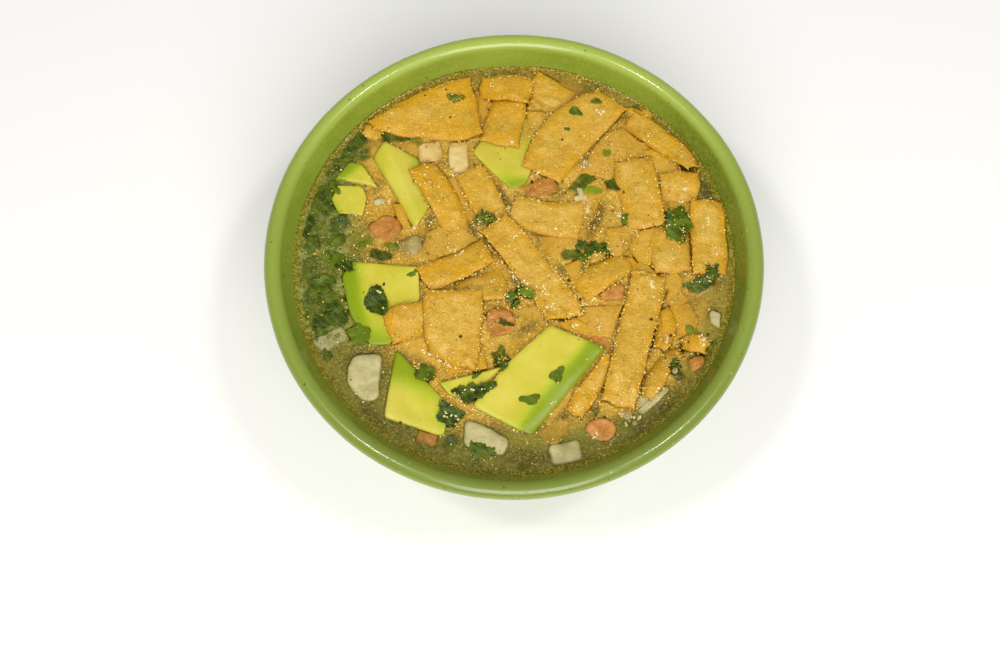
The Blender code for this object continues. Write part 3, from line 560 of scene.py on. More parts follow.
# Leaves that are sprays of small ones, each a row of these columns
sprayColumns = "x y long wide turn lobes cut tone"
sprays = {
    7: [
        (-1.5, -12.4, 5.2, 4.4, 60, 4, 0.35, 0.5), (3.8, -11.4, 6.0, 2.8, -12, 3, 0.2, 1.0),
        (0.6, -9.8, 3.8, 2.2, 60, 3, 0.3, 0.3), (-0.6, -15.0, 4.2, 2.2, 40, 3, 0.3, 0.6),
    ],
    8: [
        (24.6, 4.8, 8.6, 5.4, 15, 5, 0.4, 0.3), (17.0, 2.6, 6.0, 3.8, 20, 4, 0.4, 0.45),
        (20.6, 6.0, 5.0, 3.0, 40, 4, 0.4, 0.4), (21.6, 1.6, 5.6, 3.0, -10, 4, 0.4, 0.7),
        (28.2, 3.6, 4.0, 2.4, -20, 3, 0.4, 0.3), (21.4, -1.8, 4.6, 0.8, 80, 2, 0.05, 1.0),
    ],
    10: [
        (59.4, -7.0, 9.0, 5.4, 30, 5, 0.35, 0.3), (62.6, -4.0, 5.8, 4.4, 60, 4, 0.35, 0.35),
        (55.6, -9.2, 4.8, 3.6, -40, 4, 0.35, 0.5), (60.8, -2.0, 3.0, 2.0, 10, 3, 0.3, 0.5),
        (57.4, -8.6, 6.6, 4.6, 10, 4, 0.25, 0.2), (61.6, -6.2, 5.4, 4.0, 70, 4, 0.25, 0.2),
    ],
    11: [
        (-57.6, 1.2, 5.8, 4.2, 20, 4, 0.25, 0.7), (-55.4, -1.6, 6.4, 4.4, -30, 3, 0.25, 0.1),
    ],
    12: [
        (49.2, -36.4, 5.4, 4.2, 70, 4, 0.3, 0.1), (50.4, -38.6, 4.0, 3.2, -20, 4, 0.3, 0.2),
    ],
}
leafReach = 69.6  # no leaf comes nearer to the wall


# An outline drawn in towards its middle between its lobes, as a cosine of the angle
def cutIn(outline, lobes, cut, start=0.0):
    middle = outline.mean(0)
    turn = np.arctan2(*(outline - middle).T[::-1])
    return middle + (outline - middle) * (1 - cut * (0.5 - 0.5 * np.cos(lobes * turn + start)))[:, None]


# A leaf's outline: an ellipse cut in between its lobes, turned and moved to its place
def lobedOutline(look):
    angle = np.linspace(0, 2 * math.pi, 40, endpoint=False)
    oval = np.column_stack([look["long"] / 2 * np.cos(angle), look["wide"] / 2 * np.sin(angle)])
    dip = 1 - look["cut"] * (0.5 - 0.5 * np.cos(look["lobes"] * angle + look["x"]))
    turn = math.radians(look["turn"])
    turning = np.array([[math.cos(turn), math.sin(turn)], [-math.sin(turn), math.cos(turn)]])
    turned = oval * dip[:, None] @ turning
    outline = turned + [look["x"] + drift(look["x"]), look["y"]]
    return outline * np.minimum(1, leafReach / np.linalg.norm(outline, axis=1))[:, None]


leaves = {}
for number in range(1, 14):
    name = f"cilantro_leaf_{number:02d}"
    points, lower, outline = underside(name)

    def heightAt(x, y):
        return heightOn(points, lower, x, y) + leaf["rise"]

    if number in sprays:
        leaves[name] = joined([
            leafShape(lobedOutline(look), heightAt, number * 17 + k, look["tone"])
            for k, look in enumerate(table(sprayColumns, sprays[number]))])
    else:
        outline = curveThrough(grown(outline, leaf["grown"]), np.arange(48) / 48, closed=True)
        outline = cutIn(outline, *leafCut[number], number)
        tone = leafTone.get(name, leaf["plainTone"])
        leaves[name] = drifted(leafShape(outline, heightAt, number * 17, tone))
print("leaves shaped", sum(len(shape["points"]) for shape in leaves.values()))


# What lies sunk in the broth: outlines seen from above, with the depth of the top below the level

sunkStrips = table("depth tone corners", [
    (1.3, 0.2, [(12, 66.4), (20, 66.6), (24, 62.5), (20, 59.6), (15.7, 63)]),
    (0.3, 0.0, [(5, 47.5), (8, 46.5), (12.5, 50.5), (14.5, 53.5), (8, 55), (3.2, 55)]),
    (0.55, 0.15, [(21, 32), (28, 31), (36, 36), (47, 41), (40, 44.5), (35.5, 48.5), (29.5, 47), (24, 39.5)]),
    (0.6, 0.4, [(36, 54), (38, 49), (42, 44), (50, 41), (56, 36), (50, 45), (42, 52)]),
    (0.2, 0.9, [(36.5, 53), (41, 52), (45, 51), (45.6, 54.6), (40, 56.4), (35.5, 56)]),
    (0.7, 0.2, [(-23.5, 30), (-15, 14.5), (-12, 16.5), (-19.5, 31)]),
    (0.3, 0.9, [(-24, -30), (-22, -38.6), (-9, -36.4), (-10, -28)]),
    (0.4, 0.5, [(45.6, 32), (46.2, 22), (46.5, 16), (48.4, 18), (49.4, 24), (50, 31.5)]),
    (0.5, 0.15, [(20, 29.5), (21, 20), (21.5, 14.5), (24.5, 16), (27, 21), (29.5, 25), (29, 29.7)]),
    (0.4, 0.1, [(28.5, 12), (28.5, 4), (32, 1), (36, 6), (40, 11), (38, 13.5)]),
    (0.25, 0.2, [(40, 11.5), (35.5, 6), (38, 1), (41, -2), (43.8, 1), (43.8, 12.5)]),
    (0.9, 0.1, [(6.5, 9.5), (8, 5), (9.5, 2), (12, 0), (15, 4), (20, 8.6), (13.5, 9.6)]),
    (0.1, 0.5, [(14.5, -1.5), (17, -6), (19, -10), (21, -6), (24, 0.5), (20, 1.2)]),
    (0.15, 1.0, [(31, -3), (34, -4.5), (38, -5), (39, -1), (37, 2), (32, 1.5)]),
    (0.05, 0.3, [(37, -5), (40, -8), (46, -12), (48, -9), (46.5, -6), (42, -1.5), (38.5, 0.4)]),
    (0.5, 0.25, [(45, -4), (47.6, -9), (47, -13.5), (50, -16), (55, -13), (52.5, -10), (53, -5), (50, -2.5)]),
    (0.7, 0.3, [(48.5, -15), (48.8, -22), (51, -25.5), (56, -24.5), (57.5, -20), (55, -13.5)]),
    (0.3, 0.15, [(20.5, -15), (18.5, -20), (19.5, -24), (24.5, -25.5), (30, -26), (31.5, -20), (33.5, -15)]),
    (0.2, 1.0, [(13, -21), (15, -23), (19, -24.8), (22.5, -22), (19, -19)]),
    (0.8, 0.05, [(0.5, -15), (0, -18), (3, -20), (9, -20.5), (12, -19.5), (7, -14.5)]),
    (0.8, 0.1, [(6.5, -57.5), (8, -60), (12, -61), (16, -57), (16, -52), (12, -52.5)]),
    (0.5, 0.15, [(-29, 11), (-31, 3.5), (-27, 0.5), (-22, 4.5), (-17, 6.5), (-12, 8), (-17, 12.5),
                 (-24, 13)]),
    (0.2, 0.6, [(-41, 21), (-39, 15), (-36, 11), (-34.5, 12.5), (-37.5, 20.5)]),
    (0.5, 0.2, [(-8.5, 4), (-9.5, -1), (-7, -2.5), (-3, -6), (0, -4.5), (-4, 0)]),
    (0.8, 0.4, [(-17, 60), (-15, 46), (-11, 44), (-8, 47), (-10, 58), (-12, 62)]),
    (1.3, 0.3, [(30, -2), (25, -13), (30, -15.5), (35, -14), (37, -5)]),
])
sunkChunks = table("kind x y long wide turn depth thick tone", [
    ("onion", -28.5, 40, 8.4, 7.8, 8, 0.3, 5, 1.0), ("onion", -19, 38, 7.0, 12, 2, 0.25, 5, 1.0),
    ("onion", 15, -63.5, 10, 7, 12, 0.3, 5, 0.2), ("onion", -59, -26.5, 11, 6.2, 28, 0.5, 5, 0.1),
    ("onion", 21.2, 20.4, 4.8, 7.0, 8, -0.3, 4, 0.9), ("onion", -34.5, 5.5, 8.0, 7.0, 20, 0.8, 4, 0.5),
    ("onion", 41.6, -44.8, 12, 6.4, 46, 0.5, 4, 0.3), ("tomato", 7.5, 26.2, 11, 6.2, 24, 0.5, 4, 0.0),
    ("tomato", -28, -59, 6.4, 4.2, -18, 0.6, 4, 0.0), ("tomato", 25.5, -27.0, 11, 5.0, -22, 0.7, 4, 0.0),
    ("tomato", -11.4, 60, 5.6, 6.4, 10, 0.9, 4, 0.0), ("tomato", 44.5, -19.5, 4.2, 3.4, 40, 0.5, 3, 0.0),
])
# Leaves: middle, size, turn, lobes, how deep they are cut, and depth
sunkLeaves = table("x y long wide turn lobes cut depth tone", [
    (21, 28.2, 11.5, 5.4, 38, 4, 0.3, 0.1, 0.5), (24.2, 25.4, 6.8, 3.2, 4, 2, 0.05, -0.2, 1.2),
    (31, 27.4, 6.6, 4.0, -28, 4, 0.3, -0.1, 0.35), (-44.2, 2.4, 8.6, 4.0, -6, 3, 0.2, -0.2, 0.1),
    (-12, -62.5, 7.4, 5.0, -20, 5, 0.3, -0.3, 0.6), (-20.5, -60.4, 5.4, 4.2, 60, 4, 0.3, 0.0, 0.4),
    (36, 15.4, 4.8, 3.2, 30, 4, 0.35, -0.6, 0.6), (55.4, 43.4, 6.2, 4.6, -30, 5, 0.35, -0.2, 0.3),
    (41.4, 57.0, 4.6, 3.2, 20, 4, 0.3, 0.1, 0.3), (6.2, 43.0, 4.2, 3.2, 60, 4, 0.3, 0.0, 0.3),
    (63.6, 23, 5.4, 3.8, 70, 4, 0.3, 0.2, 0.7), (-8.4, -63.6, 6.0, 4.2, 24, 5, 0.34, -0.2, 0.7),
    (-54.6, 42.6, 12.5, 5.6, 48, 2, 0.1, 0.1, 0.3), (-40.5, 45.0, 11, 4.4, 4, 4, 0.25, 0.0, 0.3),
    (-33.6, 43.4, 6, 3.2, -24, 4, 0.25, 0.1, 0.8), (-50.0, 38.4, 5, 3.4, 60, 4, 0.3, 0.2, 0.3),
    (-60.6, 34.0, 7.5, 4.2, 62, 3, 0.2, 0.4, 0.2), (-56.4, 36.6, 6.5, 1.8, 22, 2, 0.1, 0.15, 0.8),
    (-59.4, 26.4, 6.6, 2.8, -60, 2, 0.1, -0.5, 0.7), (-64.0, 23.4, 9.6, 7.4, 40, 5, 0.2, 0.3, 0.4),
    (-62.6, 19.0, 6, 4.6, 10, 5, 0.25, 0.4, 0.4), (-68.2, 14.0, 12, 3.4, 84, 2, 0.08, 0.2, 0.15),
    (-57.4, 13.2, 8.6, 7.0, 60, 5, 0.22, 0.25, 0.3), (-63.4, 12.6, 5, 4.6, 30, 4, 0.3, 0.6, 0.9),
    (-66.6, 6.4, 7.4, 5.4, 80, 5, 0.25, 0.3, 0.35), (-58.2, 7.4, 6.4, 4.6, 20, 4, 0.25, 0.4, 0.6),
    (-66.8, -2.0, 9, 5.0, 85, 4, 0.25, 0.4, 0.4), (-61.8, 1.6, 5.4, 4.0, 70, 4, 0.25, 0.5, 0.6),
    (-62.8, -7.8, 9.0, 7.0, 10, 5, 0.2, 0.2, 0.5), (-66.0, -12.6, 6.4, 5.6, 50, 4, 0.2, 0.4, 0.3),
    (-59.4, -13.6, 10, 8.0, -20, 5, 0.2, 0.2, 0.35), (-59.6, -19.4, 13, 6.4, 8, 4, 0.18, 0.25, 0.2),
    (-64.6, -18.6, 6, 5.0, -40, 4, 0.25, 0.3, 0.5), (-63.0, -23.4, 5, 3.6, -20, 4, 0.3, 0.4, 0.35),
    (-49.8, 5.8, 6.0, 3.0, 30, 3, 0.25, 0.1, 0.9), (-40.6, 5.6, 5.6, 2.0, -14, 3, 0.2, 0.0, 1.0),
    (-60.4, -31.6, 5.4, 4.0, -60, 4, 0.3, 0.25, 0.25), (40.0, -63.4, 7, 3.6, 20, 4, 0.3, 0.6, 0.7),
    (49.2, -52.0, 8, 3.4, 40, 4, 0.3, 0.6, 0.7), (3.0, -69.0, 8, 2.8, 4, 4, 0.3, 0.6, 0.6),
    (62.6, -29.6, 7, 4.8, 60, 4, 0.3, 0.3, 0.9), (56.0, -24.6, 9, 2.6, -42, 3, 0.2, 0.1, 1.0),
    (24.5, -50.0, 5, 2.6, 70, 4, 0.3, 0.1, 0.5), (-33.2, -4.2, 4.4, 2.2, 30, 3, 0.2, -1.0, 0.9),
    (-27.6, -10.8, 3.4, 2.0, 30, 3, 0.2, -1.0, 0.8), (-5.0, -20.4, 9.0, 1.6, -18, 2, 0.1, -0.2, 0.4),
    (29.6, 39.2, 3.0, 2.4, -20, 3, 0.3, -0.1, 1.0), (-62.0, 28.0, 14, 8.0, 66, 3, 0.15, 1.15, 0.6),
    (-65.0, 17.0, 13, 8.0, 80, 3, 0.15, 1.2, 0.5), (-58.0, 20.0, 9, 7.0, 20, 3, 0.15, 1.3, 0.7),
    (-62.0, 7.0, 14, 9.0, 84, 3, 0.15, 1.2, 0.5), (-66.0, -6.0, 14, 7.0, 88, 3, 0.15, 1.25, 0.4),
    (-60.0, -4.0, 12, 8.0, 70, 3, 0.15, 1.35, 0.6), (-62.5, -15.0, 15, 11, 30, 3, 0.12, 1.1, 0.4),
    (-57.0, -19.0, 10, 8.0, -30, 3, 0.15, 1.3, 0.5), (-53.5, 39.0, 13, 8.0, 40, 3, 0.15, 1.2, 0.5),
    (-45.0, 44.0, 14, 6.0, 14, 3, 0.15, 1.25, 0.4), (-51.0, 8.0, 9, 5.0, -20, 3, 0.2, 0.7, 1.1),
])
# Scraps that lie on a strip or chunk
scraps = table("x y long wide turn lobes cut tone", [
    (4.2, -46.8, 7.4, 4.0, 5, 3, 0.4, 0.55), (12.6, -38.8, 6.4, 4.4, 55, 3, 0.4, 0.55),
    (-20.2, 58.8, 7.0, 3.4, -12, 3, 0.25, 0.8), (19.4, 53.6, 5.2, 3.4, -20, 3, 0.35, 0.5),
    (26.4, 57.2, 4.6, 2.2, -5, 3, 0.3, 0.6), (16.6, 47.2, 2.4, 1.6, -5, 3, 0.2, 0.6),
    (-12.4, -38.6, 3.6, 1.5, 40, 2, 0.2, 0.5),
])


sunkStripLook = dict(
    thickness=1.0, edge=0.7, step=0.5, middle=0.5, folds=((6.0, 0.25), (2.4, 0.12), (0.9, 0.05)),
)


def sunkStripShape(look, seed):
    size = sunkStripLook
    corners = np.array(look["corners"], float)
    length = np.linalg.norm(np.roll(corners, -1, axis=0) - corners, axis=1).sum()
    share = np.arange(int(length / size["step"])) / int(length / size["step"])
    ring = np.vstack([corners, corners[:1]])
    walked = np.concatenate([[0], np.cumsum(np.linalg.norm(np.diff(ring, axis=0), axis=1))])
    outline = np.column_stack([np.interp(share * walked[-1], walked, ring[:, k]) for k in range(2)])
    outline = outline + np.column_stack([
        relief(flat(outline[:, 0], outline[:, 1]), tortilla["ragged"], seed + 100 * k) for k in range(2)])
    middle = level - look["depth"] - size["middle"]

    def heightAt(x, y):
        return np.full(x.shape, middle)

    shape = discShape(outline, heightAt, size["thickness"], size["edge"], size["folds"], seed, look["tone"])
    shape["marks"]["blister"] = 0 * shape["marks"]["tone"]
    return shape


def sunkChunkShape(look, seed):
    turn = math.radians(look["turn"])
    along = np.array([math.cos(turn), math.sin(turn), 0])
    across = np.array([-math.sin(turn), math.cos(turn), 0])
    up = np.array([0, 0, 1.0])
    middle = np.array([look["x"], look["y"], level - look["depth"] - look["thick"] / 2])
    normals = np.array([along, -along, across, -across, up, -up])
    reach = np.repeat([look["long"], look["wide"], look["thick"]], 2) / 2
    half = np.abs(along) * reach[0] + np.abs(across) * reach[2] + up * reach[4]
    places = middle + normals * reach[:, None]
    return chunkShape(look["kind"], normals, places, middle - half, middle + half, seed, tone=look["tone"])


def sunkLeafShape(look, seed):
    def heightAt(x, y):
        return np.full(x.shape, level - look["depth"] - leaf["thickness"] / 2)

    return leafShape(lobedOutline(look), heightAt, seed, look["tone"])


sunkTortilla = drifted(joined([sunkStripShape(look, 40 + k) for k, look in enumerate(sunkStrips)]))
sunkKinds = {}
for kind in ("onion", "tomato"):
    pieces = [sunkChunkShape(look, k) for k, look in enumerate(sunkChunks) if look["kind"] == kind]
    sunkKinds[kind] = drifted(joined(pieces))
print("sunk pieces shaped")


# A map of the highest food seen from above, on a fine square grid

mapCell, mapReach = 0.25, 76.0
mapSize = int(2 * mapReach / mapCell) + 1
foodMap = np.full((mapSize, mapSize), -1000.0)


# Marks each quad and triangle of a shape on the map, at evenly spread points of it
def markFood(shape, samples=4):
    spread = (np.arange(samples) + 0.5) / samples
    for group in shape["faces"]:
        a, b, c, d = (shape["points"][group[:, k]] for k in (0, 1, 2, group.shape[1] - 1))
        for s in spread:
            for t in spread:
                point = (1 - s) * (1 - t) * a + s * (1 - t) * b + s * t * c + (1 - s) * t * d
                i = np.rint((point[:, 0] + mapReach) / mapCell).astype(int).clip(0, mapSize - 1)
                j = np.rint((point[:, 1] + mapReach) / mapCell).astype(int).clip(0, mapSize - 1)
                np.maximum.at(foodMap, (i, j), point[:, 2])


# The value of a map at each place, blended between its four nearest cells
def readMap(values, x, y):
    i = ((x + mapReach) / mapCell).clip(0, mapSize - 1.001)
    j = ((y + mapReach) / mapCell).clip(0, mapSize - 1.001)
    i0, j0 = i.astype(int), j.astype(int)
    s, t = i - i0, j - j0
    near = values[i0, j0] * (1 - t) + values[i0, j0 + 1] * t
    far = values[i0 + 1, j0] * (1 - t) + values[i0 + 1, j0 + 1] * t
    return near * (1 - s) + far * s


# Blurred by a bell curve along both axes, its width in mm
def blurred(values, width):
    reach = np.arange(-int(3 * width / mapCell), int(3 * width / mapCell) + 1)
    bell = np.exp(-0.5 * (reach * mapCell / width) ** 2)
    bell /= bell.sum()
    for axis in (0, 1):
        total = np.zeros_like(values)
        for step, weight in zip(reach, bell):
            total += weight * np.roll(values, step, axis=axis)
        values = total
    return values


for shape in list(strips.values()) + [sunkTortilla]:
    markFood(shape)
stripMap = foodMap.copy()
avocados = [shape for name, shape in chunks.items() if name.startswith("avocado")]
for shape in avocados:
    markFood(shape)
avocadoMap = foodMap > stripMap + 0.01
for shape in list(chunks.values()) + list(sunkKinds.values()):
    markFood(shape)
solidMap = foodMap.copy()
for shape in leaves.values():
    markFood(shape)


def onFood(rise):
    def heightAt(x, y):
        return np.maximum(readMap(solidMap, x, y), level) + rise
    return heightAt


leafScraps = [
    leafShape(lobedOutline(look), onFood(leaf["rise"]), 300 + k, look["tone"], leaf["scrapRough"])
    for k, look in enumerate(scraps)]
looseLeaves = joined([sunkLeafShape(look, 400 + 3 * k) for k, look in enumerate(sunkLeaves)])
for shape in leafScraps + [looseLeaves]:
    markFood(shape)
print("food mapped")


# The bowl's profile, sized from its node

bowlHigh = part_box("bowl")[1]
bowl = dict(
    rimRadius=bowlHigh.x / mm, rimHeight=bowlHigh.z / mm, lipRadius=2.95, floor=8.0, underside=3.5,
    footRadius=40.0, innerRadius=74.0, outerRadius=79.6, wallHeight=67.5, power=3.0, steps=256,
    insideGap=0.4, lipTurn=(165, -35), outsideTop=77.6, footGap=2.5, hollow=8,
    footCurve=(  # out from the foot's radius, and up
        (1.4, 7.4), (0.4, 6.0), (0.1, 3.4), (0, 0.9), (-0.9, 0.05), (-2.5, 0.0), (-4.1, 0.05), (-4.8, 0.8),
        (-5.0, 2.4), (-6.2, 3.45)),
    uneven=((45.0, 0.22), (14.0, 0.08), (5.0, 0.03)),
)


# The inside wall rises as a cubic of its radius
def wallHeightAt(radius):
    climb = bowl["wallHeight"] - bowl["floor"]
    return bowl["floor"] + climb * (radius / bowl["innerRadius"]) ** bowl["power"]


def wallRadiusAt(height):
    share = (height - bowl["floor"]) / (bowl["wallHeight"] - bowl["floor"])
    return bowl["innerRadius"] * np.maximum(share, 0) ** (1 / bowl["power"])


# From the middle of the floor up the inside, round the lip, down the outside, under the foot, to the middle
def bowlProfile():
    size = bowl
    inside = np.linspace(0, size["innerRadius"] - size["insideGap"], 46)[1:]
    lipX, lipZ = size["rimRadius"] - size["lipRadius"], size["rimHeight"] - size["lipRadius"]
    angle = np.radians(np.linspace(*size["lipTurn"], 30))
    outside = np.linspace(size["outsideTop"], size["footRadius"] + size["footGap"], 30)
    outsideHeight = size["wallHeight"] * (outside / size["outerRadius"]) ** size["power"]
    footPoints = [(size["footRadius"] + out, up) for out, up in size["footCurve"]]
    foot = curveThrough(footPoints, np.linspace(0, 1, 26))
    under = np.linspace(size["footRadius"] - size["hollow"], 2, 12)
    radius = np.concatenate([
        inside, lipX + size["lipRadius"] * np.cos(angle), outside, foot[:, 0], under])
    height = np.concatenate([
        wallHeightAt(inside), lipZ + size["lipRadius"] * np.sin(angle), outsideHeight, foot[:, 1],
        np.full(len(under), size["underside"])])
    return radius, height


# Turns the profile about the axis, with a slight thrown unevenness, and closes both poles
def bowlShape():
    radius, height = bowlProfile()
    steps, rows = bowl["steps"], len(radius)
    angle = np.linspace(0, 2 * math.pi, steps, endpoint=False)
    x, y = radius[:, None] * np.cos(angle), radius[:, None] * np.sin(angle)
    z = np.repeat(height[:, None], steps, axis=1)
    points = np.stack([x, y, z], axis=-1)
    uneven = relief(points, bowl["uneven"], 5)
    uneven = uneven * smoothStep(z, 3.0, 9.0)
    points[..., 0] += uneven * np.cos(angle)
    points[..., 1] += uneven * np.sin(angle)
    hubs = np.array([[0, 0, bowl["floor"]], [0, 0, bowl["underside"]]])
    return shapeOf(np.vstack([points.reshape(-1, 3), hubs]), barrelFaces(rows, steps))


# The broth

brothLook = dict(
    cells=288, swell=((18.0, 0.10), (6.0, 0.06), (2.2, 0.035), (1.1, 0.02)), wallClimb=0.9, wallReach=1.1,
    deepest=3.0, clear=1.1, clearing=1.5, thinFilm=0.1, leastVeil=0.04, softness=0.45,
    creep=0.54, creepOnto=0.15, creepReach=0.65, crumbStep=0.3, crumbReach=1.4,
    wallMurk=(58, 68), farMurk=(30, 66), leftMurk=(36, 56), nearMurk=(44, 60), sparkleEnds=(54, 66),
    wallDepths=(1, 6, 16, 28, 38, 46, 50.5), intoWall=0.1, offWall=0.3, rimWidth=0.8, rimVeil=0.8,
    crumbRise=(0.05, 0.5), leafyLeft=(48, 56), leafyNear=(-30, -22), leafyFar=(34, 50),
)
# Painted shade in the dark gaps between the pieces: middle, reach along and across, turn of the long way, and
# strength
shadedGaps = [
    (-4.2, 23.0, 6.5, 1.5, 118, 1.0), (-14.0, 11.4, 3.8, 1.6, 128, 1.0), (-28.0, 14.6, 3.8, 2.4, 75, 0.9),
    (25.6, 15.0, 7.4, 2.0, 66, 1.0), (5.6, 10.0, 3.4, 1.4, 150, 0.8), (7.0, 7.0, 2.6, 1.0, 80, 0.7),
    (54.2, -2.4, 3.2, 1.8, 70, 0.9), (31.0, 50.0, 6.0, 1.3, 24, 1.0), (24.5, 43.0, 9.0, 1.2, 60, 0.9),
    (2.0, -65.0, 9.0, 3.0, 0, 0.6), (42.0, -53.0, 9.0, 2.6, 42, 0.8), (-45.0, -53.0, 6.0, 3.6, -35, 0.7),
    (41.8, -28.6, 6.6, 1.1, 74, 1.0), (45.4, -14.4, 1.8, 1.3, 40, 0.9), (-0.6, -6.2, 5.0, 1.4, 122, 0.9),
    (3.0, -23.0, 5.4, 1.7, 35, 0.8), (-18.0, -6.8, 7.5, 0.9, 28, 0.9), (26.2, -42.6, 8.0, 1.3, 61, 0.7),
    (14.6, -3.0, 2.8, 1.2, 120, 0.8), (31.4, 28.6, 2.8, 1.3, 80, 0.7), (13.2, 24.4, 3.4, 2.4, 20, 0.6),
    (14.6, -51.6, 2.4, 1.6, 20, 0.9), (-33.0, 6.8, 7.5, 3.6, 10, 0.85), (62.0, 26.0, 4.0, 2.2, 70, 0.9),
    (-6.6, -15.0, 6.0, 1.2, 10, 0.6), (29.4, -30.6, 4.4, 1.1, 66, 0.8), (-15.0, 31.5, 3.0, 1.0, 80, 0.5),
    (-31.0, -35.0, 7.0, 2.4, -35, 0.7), (-16.0, -45.0, 7.0, 2.0, -25, 0.6),
    (-46.0, 27.0, 4.0, 2.2, 60, 0.6), (30.0, 63.0, 8.0, 1.6, -25, 0.5), (50.0, 48.0, 8.0, 1.4, -45, 0.5),
    (-3.0, 68.5, 14.0, 1.4, 0, 0.5), (-24.0, 35.0, 8.0, 2.0, 8, 0.5), (-47.0, 12.0, 4.0, 3.0, 20, 0.6),
    (-52.0, -3.0, 5.0, 3.0, 30, 0.6), (-13.0, -13.6, 6.0, 1.4, 5, 0.7), (57.0, -12.0, 5.0, 3.0, 60, 0.6),
    (22.5, 36.6, 2.6, 1.6, 60, 0.8), (39.0, -8.0, 4.5, 1.2, 80, 0.4), (49.0, -30.6, 4.0, 1.0, 25, 0.6),
]
# The broth creeps up round what stands out of it
creepMap = brothLook["creep"] * blurred(
    (foodMap > level + brothLook["creepOnto"]).astype(float), brothLook["creepReach"])
# Food seen from above, spread one cell outwards so that its edges stay clear of the murk round it
wideFood = foodMap.copy()
for step in (1, -1):
    for axis in (0, 1):
        wideFood = np.maximum(wideFood, np.roll(foodMap, step, axis=axis))
depthMap = blurred(np.clip(level + creepMap - wideFood, 0, brothLook["deepest"]), brothLook["softness"])
# Where the food rises steeply, and crumbs and foam gather
steepness = np.hypot(*np.gradient(np.clip(wideFood, level - 3, level + 2)))
crumbMap = blurred((steepness > brothLook["crumbStep"]).astype(float), brothLook["crumbReach"])


# The painted shade of the gaps: a bell over a stretched and turned ellipse for each gap, the greatest of them
# at each place
def gapShadeAt(x, y):
    deepest = np.zeros_like(x)
    for middleX, middleY, long, wide, turn, strength in shadedGaps:
        cos, sin = math.cos(math.radians(turn)), math.sin(math.radians(turn))
        away = x - middleX - drift(middleX)
        along = (away * cos + (y - middleY) * sin) / long
        across = ((y - middleY) * cos - away * sin) / wide
        deepest = np.maximum(deepest, strength * np.exp(-np.minimum((along**2 + across**2) ** 1.5, 50)))
    return deepest


# A disc of even cells, each ring of a square grid pulled out to a circle (Shirley's map), and the wall below
def brothShape():
    look = brothLook
    line = np.linspace(-1, 1, look["cells"] + 1)
    a, b = np.meshgrid(line, line, indexing="ij")
    wider = np.abs(a) >= np.abs(b)
    far = np.where(wider, a, b)
    ratio = np.where(wider, b, a) / np.where(np.abs(far) < 1e-9, 1, far)
    angle = np.where(wider, math.pi / 4 * ratio, math.pi / 2 - math.pi / 4 * ratio)
    edge = float(wallRadiusAt(level + look["wallClimb"])) + look["intoWall"]
    x, y = edge * far * np.cos(angle), edge * far * np.sin(angle)
    radius = np.hypot(x, y)
    z = level + relief(flat(x, y), look["swell"], 21) + readMap(creepMap, x, y)
    z = z + look["wallClimb"] * np.exp((radius - edge) / look["wallReach"])
    depth = np.maximum(readMap(depthMap, x, y) - look["thinFilm"], 0)
    veil = np.maximum(1 - np.exp(-((depth / look["clear"]) ** look["clearing"])), look["leastVeil"])
    veil = np.where(radius > edge - look["rimWidth"], np.maximum(veil, look["rimVeil"]), veil)
    crumbs = smoothStep(readMap(crumbMap, x, y), *look["crumbRise"])
    sparkle = np.clip(crumbs * (1 - smoothStep(radius, *look["sparkleEnds"])), 0, 1)
    murk = smoothStep(radius, *look["wallMurk"]) * (0.85 - 0.25 * smoothStep(y, *look["farMurk"]))
    murk = murk + smoothStep(-x - 0.3 * y, *look["leftMurk"]) + smoothStep(-y, *look["nearMurk"]) * 0.8
    murk = np.clip(murk + 0.3 * smoothNoise(flat(x, y), 9.0, 4), 0, 1)
    green = smoothStep(-x, *look["leafyLeft"]) * smoothStep(y, *look["leafyNear"])
    green = green * (1 - smoothStep(y, *look["leafyFar"]))
    grid = np.arange(x.size).reshape(x.shape)
    rim = np.concatenate([grid[:-1, 0], grid[-1, :-1], grid[:0:-1, -1], grid[0, :0:-1]])
    around = np.column_stack([x.ravel()[rim], y.ravel()[rim]]) / edge
    heights = level - np.array(look["wallDepths"])
    radii = wallRadiusAt(heights) - look["offWall"]
    lower = np.vstack([np.column_stack([around * r, np.full(len(rim), h)]) for r, h in zip(radii, heights)])
    rows = np.vstack([rim, x.size + np.arange(len(lower)).reshape(len(heights), -1)])
    base = fan(x.size + len(lower), rows[-1])[:, [0, 2, 1]]
    points = np.vstack([np.column_stack([x.ravel(), y.ravel(), z.ravel()]), lower, [[0, 0, heights[-1]]]])
    # Each mark on the surface, and its value on the wall below
    marks = dict(
        veil=(veil, 1), murk=(murk, 1), gap=(gapShadeAt(x, y), 0), sparkle=(sparkle, 0), green=(green, 0),
        wall=(edge - radius, 0))
    below = len(lower) + 1
    marks = {name: np.append(values, np.full(below, rest)) for name, (values, rest) in marks.items()}
    return shapeOf(points, [gridQuads(grid), ringQuads(rows), base], **marks)


# Oil drops, bubbles, pepper and herb specks

# A dome for each place: a bell of rings round its crown, closed below
def domes(places, radii, tall, sides, rings, **marks):
    rise = np.linspace(0, 1, rings + 1)[1:] * math.pi / 2
    angle = np.linspace(0, 2 * math.pi, sides, endpoint=False)
    unit = np.stack([
        np.sin(rise)[:, None] * np.cos(angle), np.sin(rise)[:, None] * np.sin(angle),
        tall * np.cos(rise)[:, None] * np.ones(sides)], axis=-1).reshape(-1, 3)
    unit = np.vstack([unit, [[0, 0, tall]], [[0, 0, -0.25 * tall]]])
    points = places[:, None, :] + unit[None] * radii[:, None, None]
    start = (np.arange(len(places)) * len(unit))[:, None, None]
    groups = [(group[None] + start).reshape(-1, group.shape[1]) for group in barrelFaces(rings, sides)]
    spread = {name: np.repeat(values, len(unit)) for name, values in marks.items()}
    crown = np.tile(np.clip(unit[:, 2] / tall, 0, 1), len(places))
    return shapeOf(points.reshape(-1, 3), groups, crown=crown, **spread)


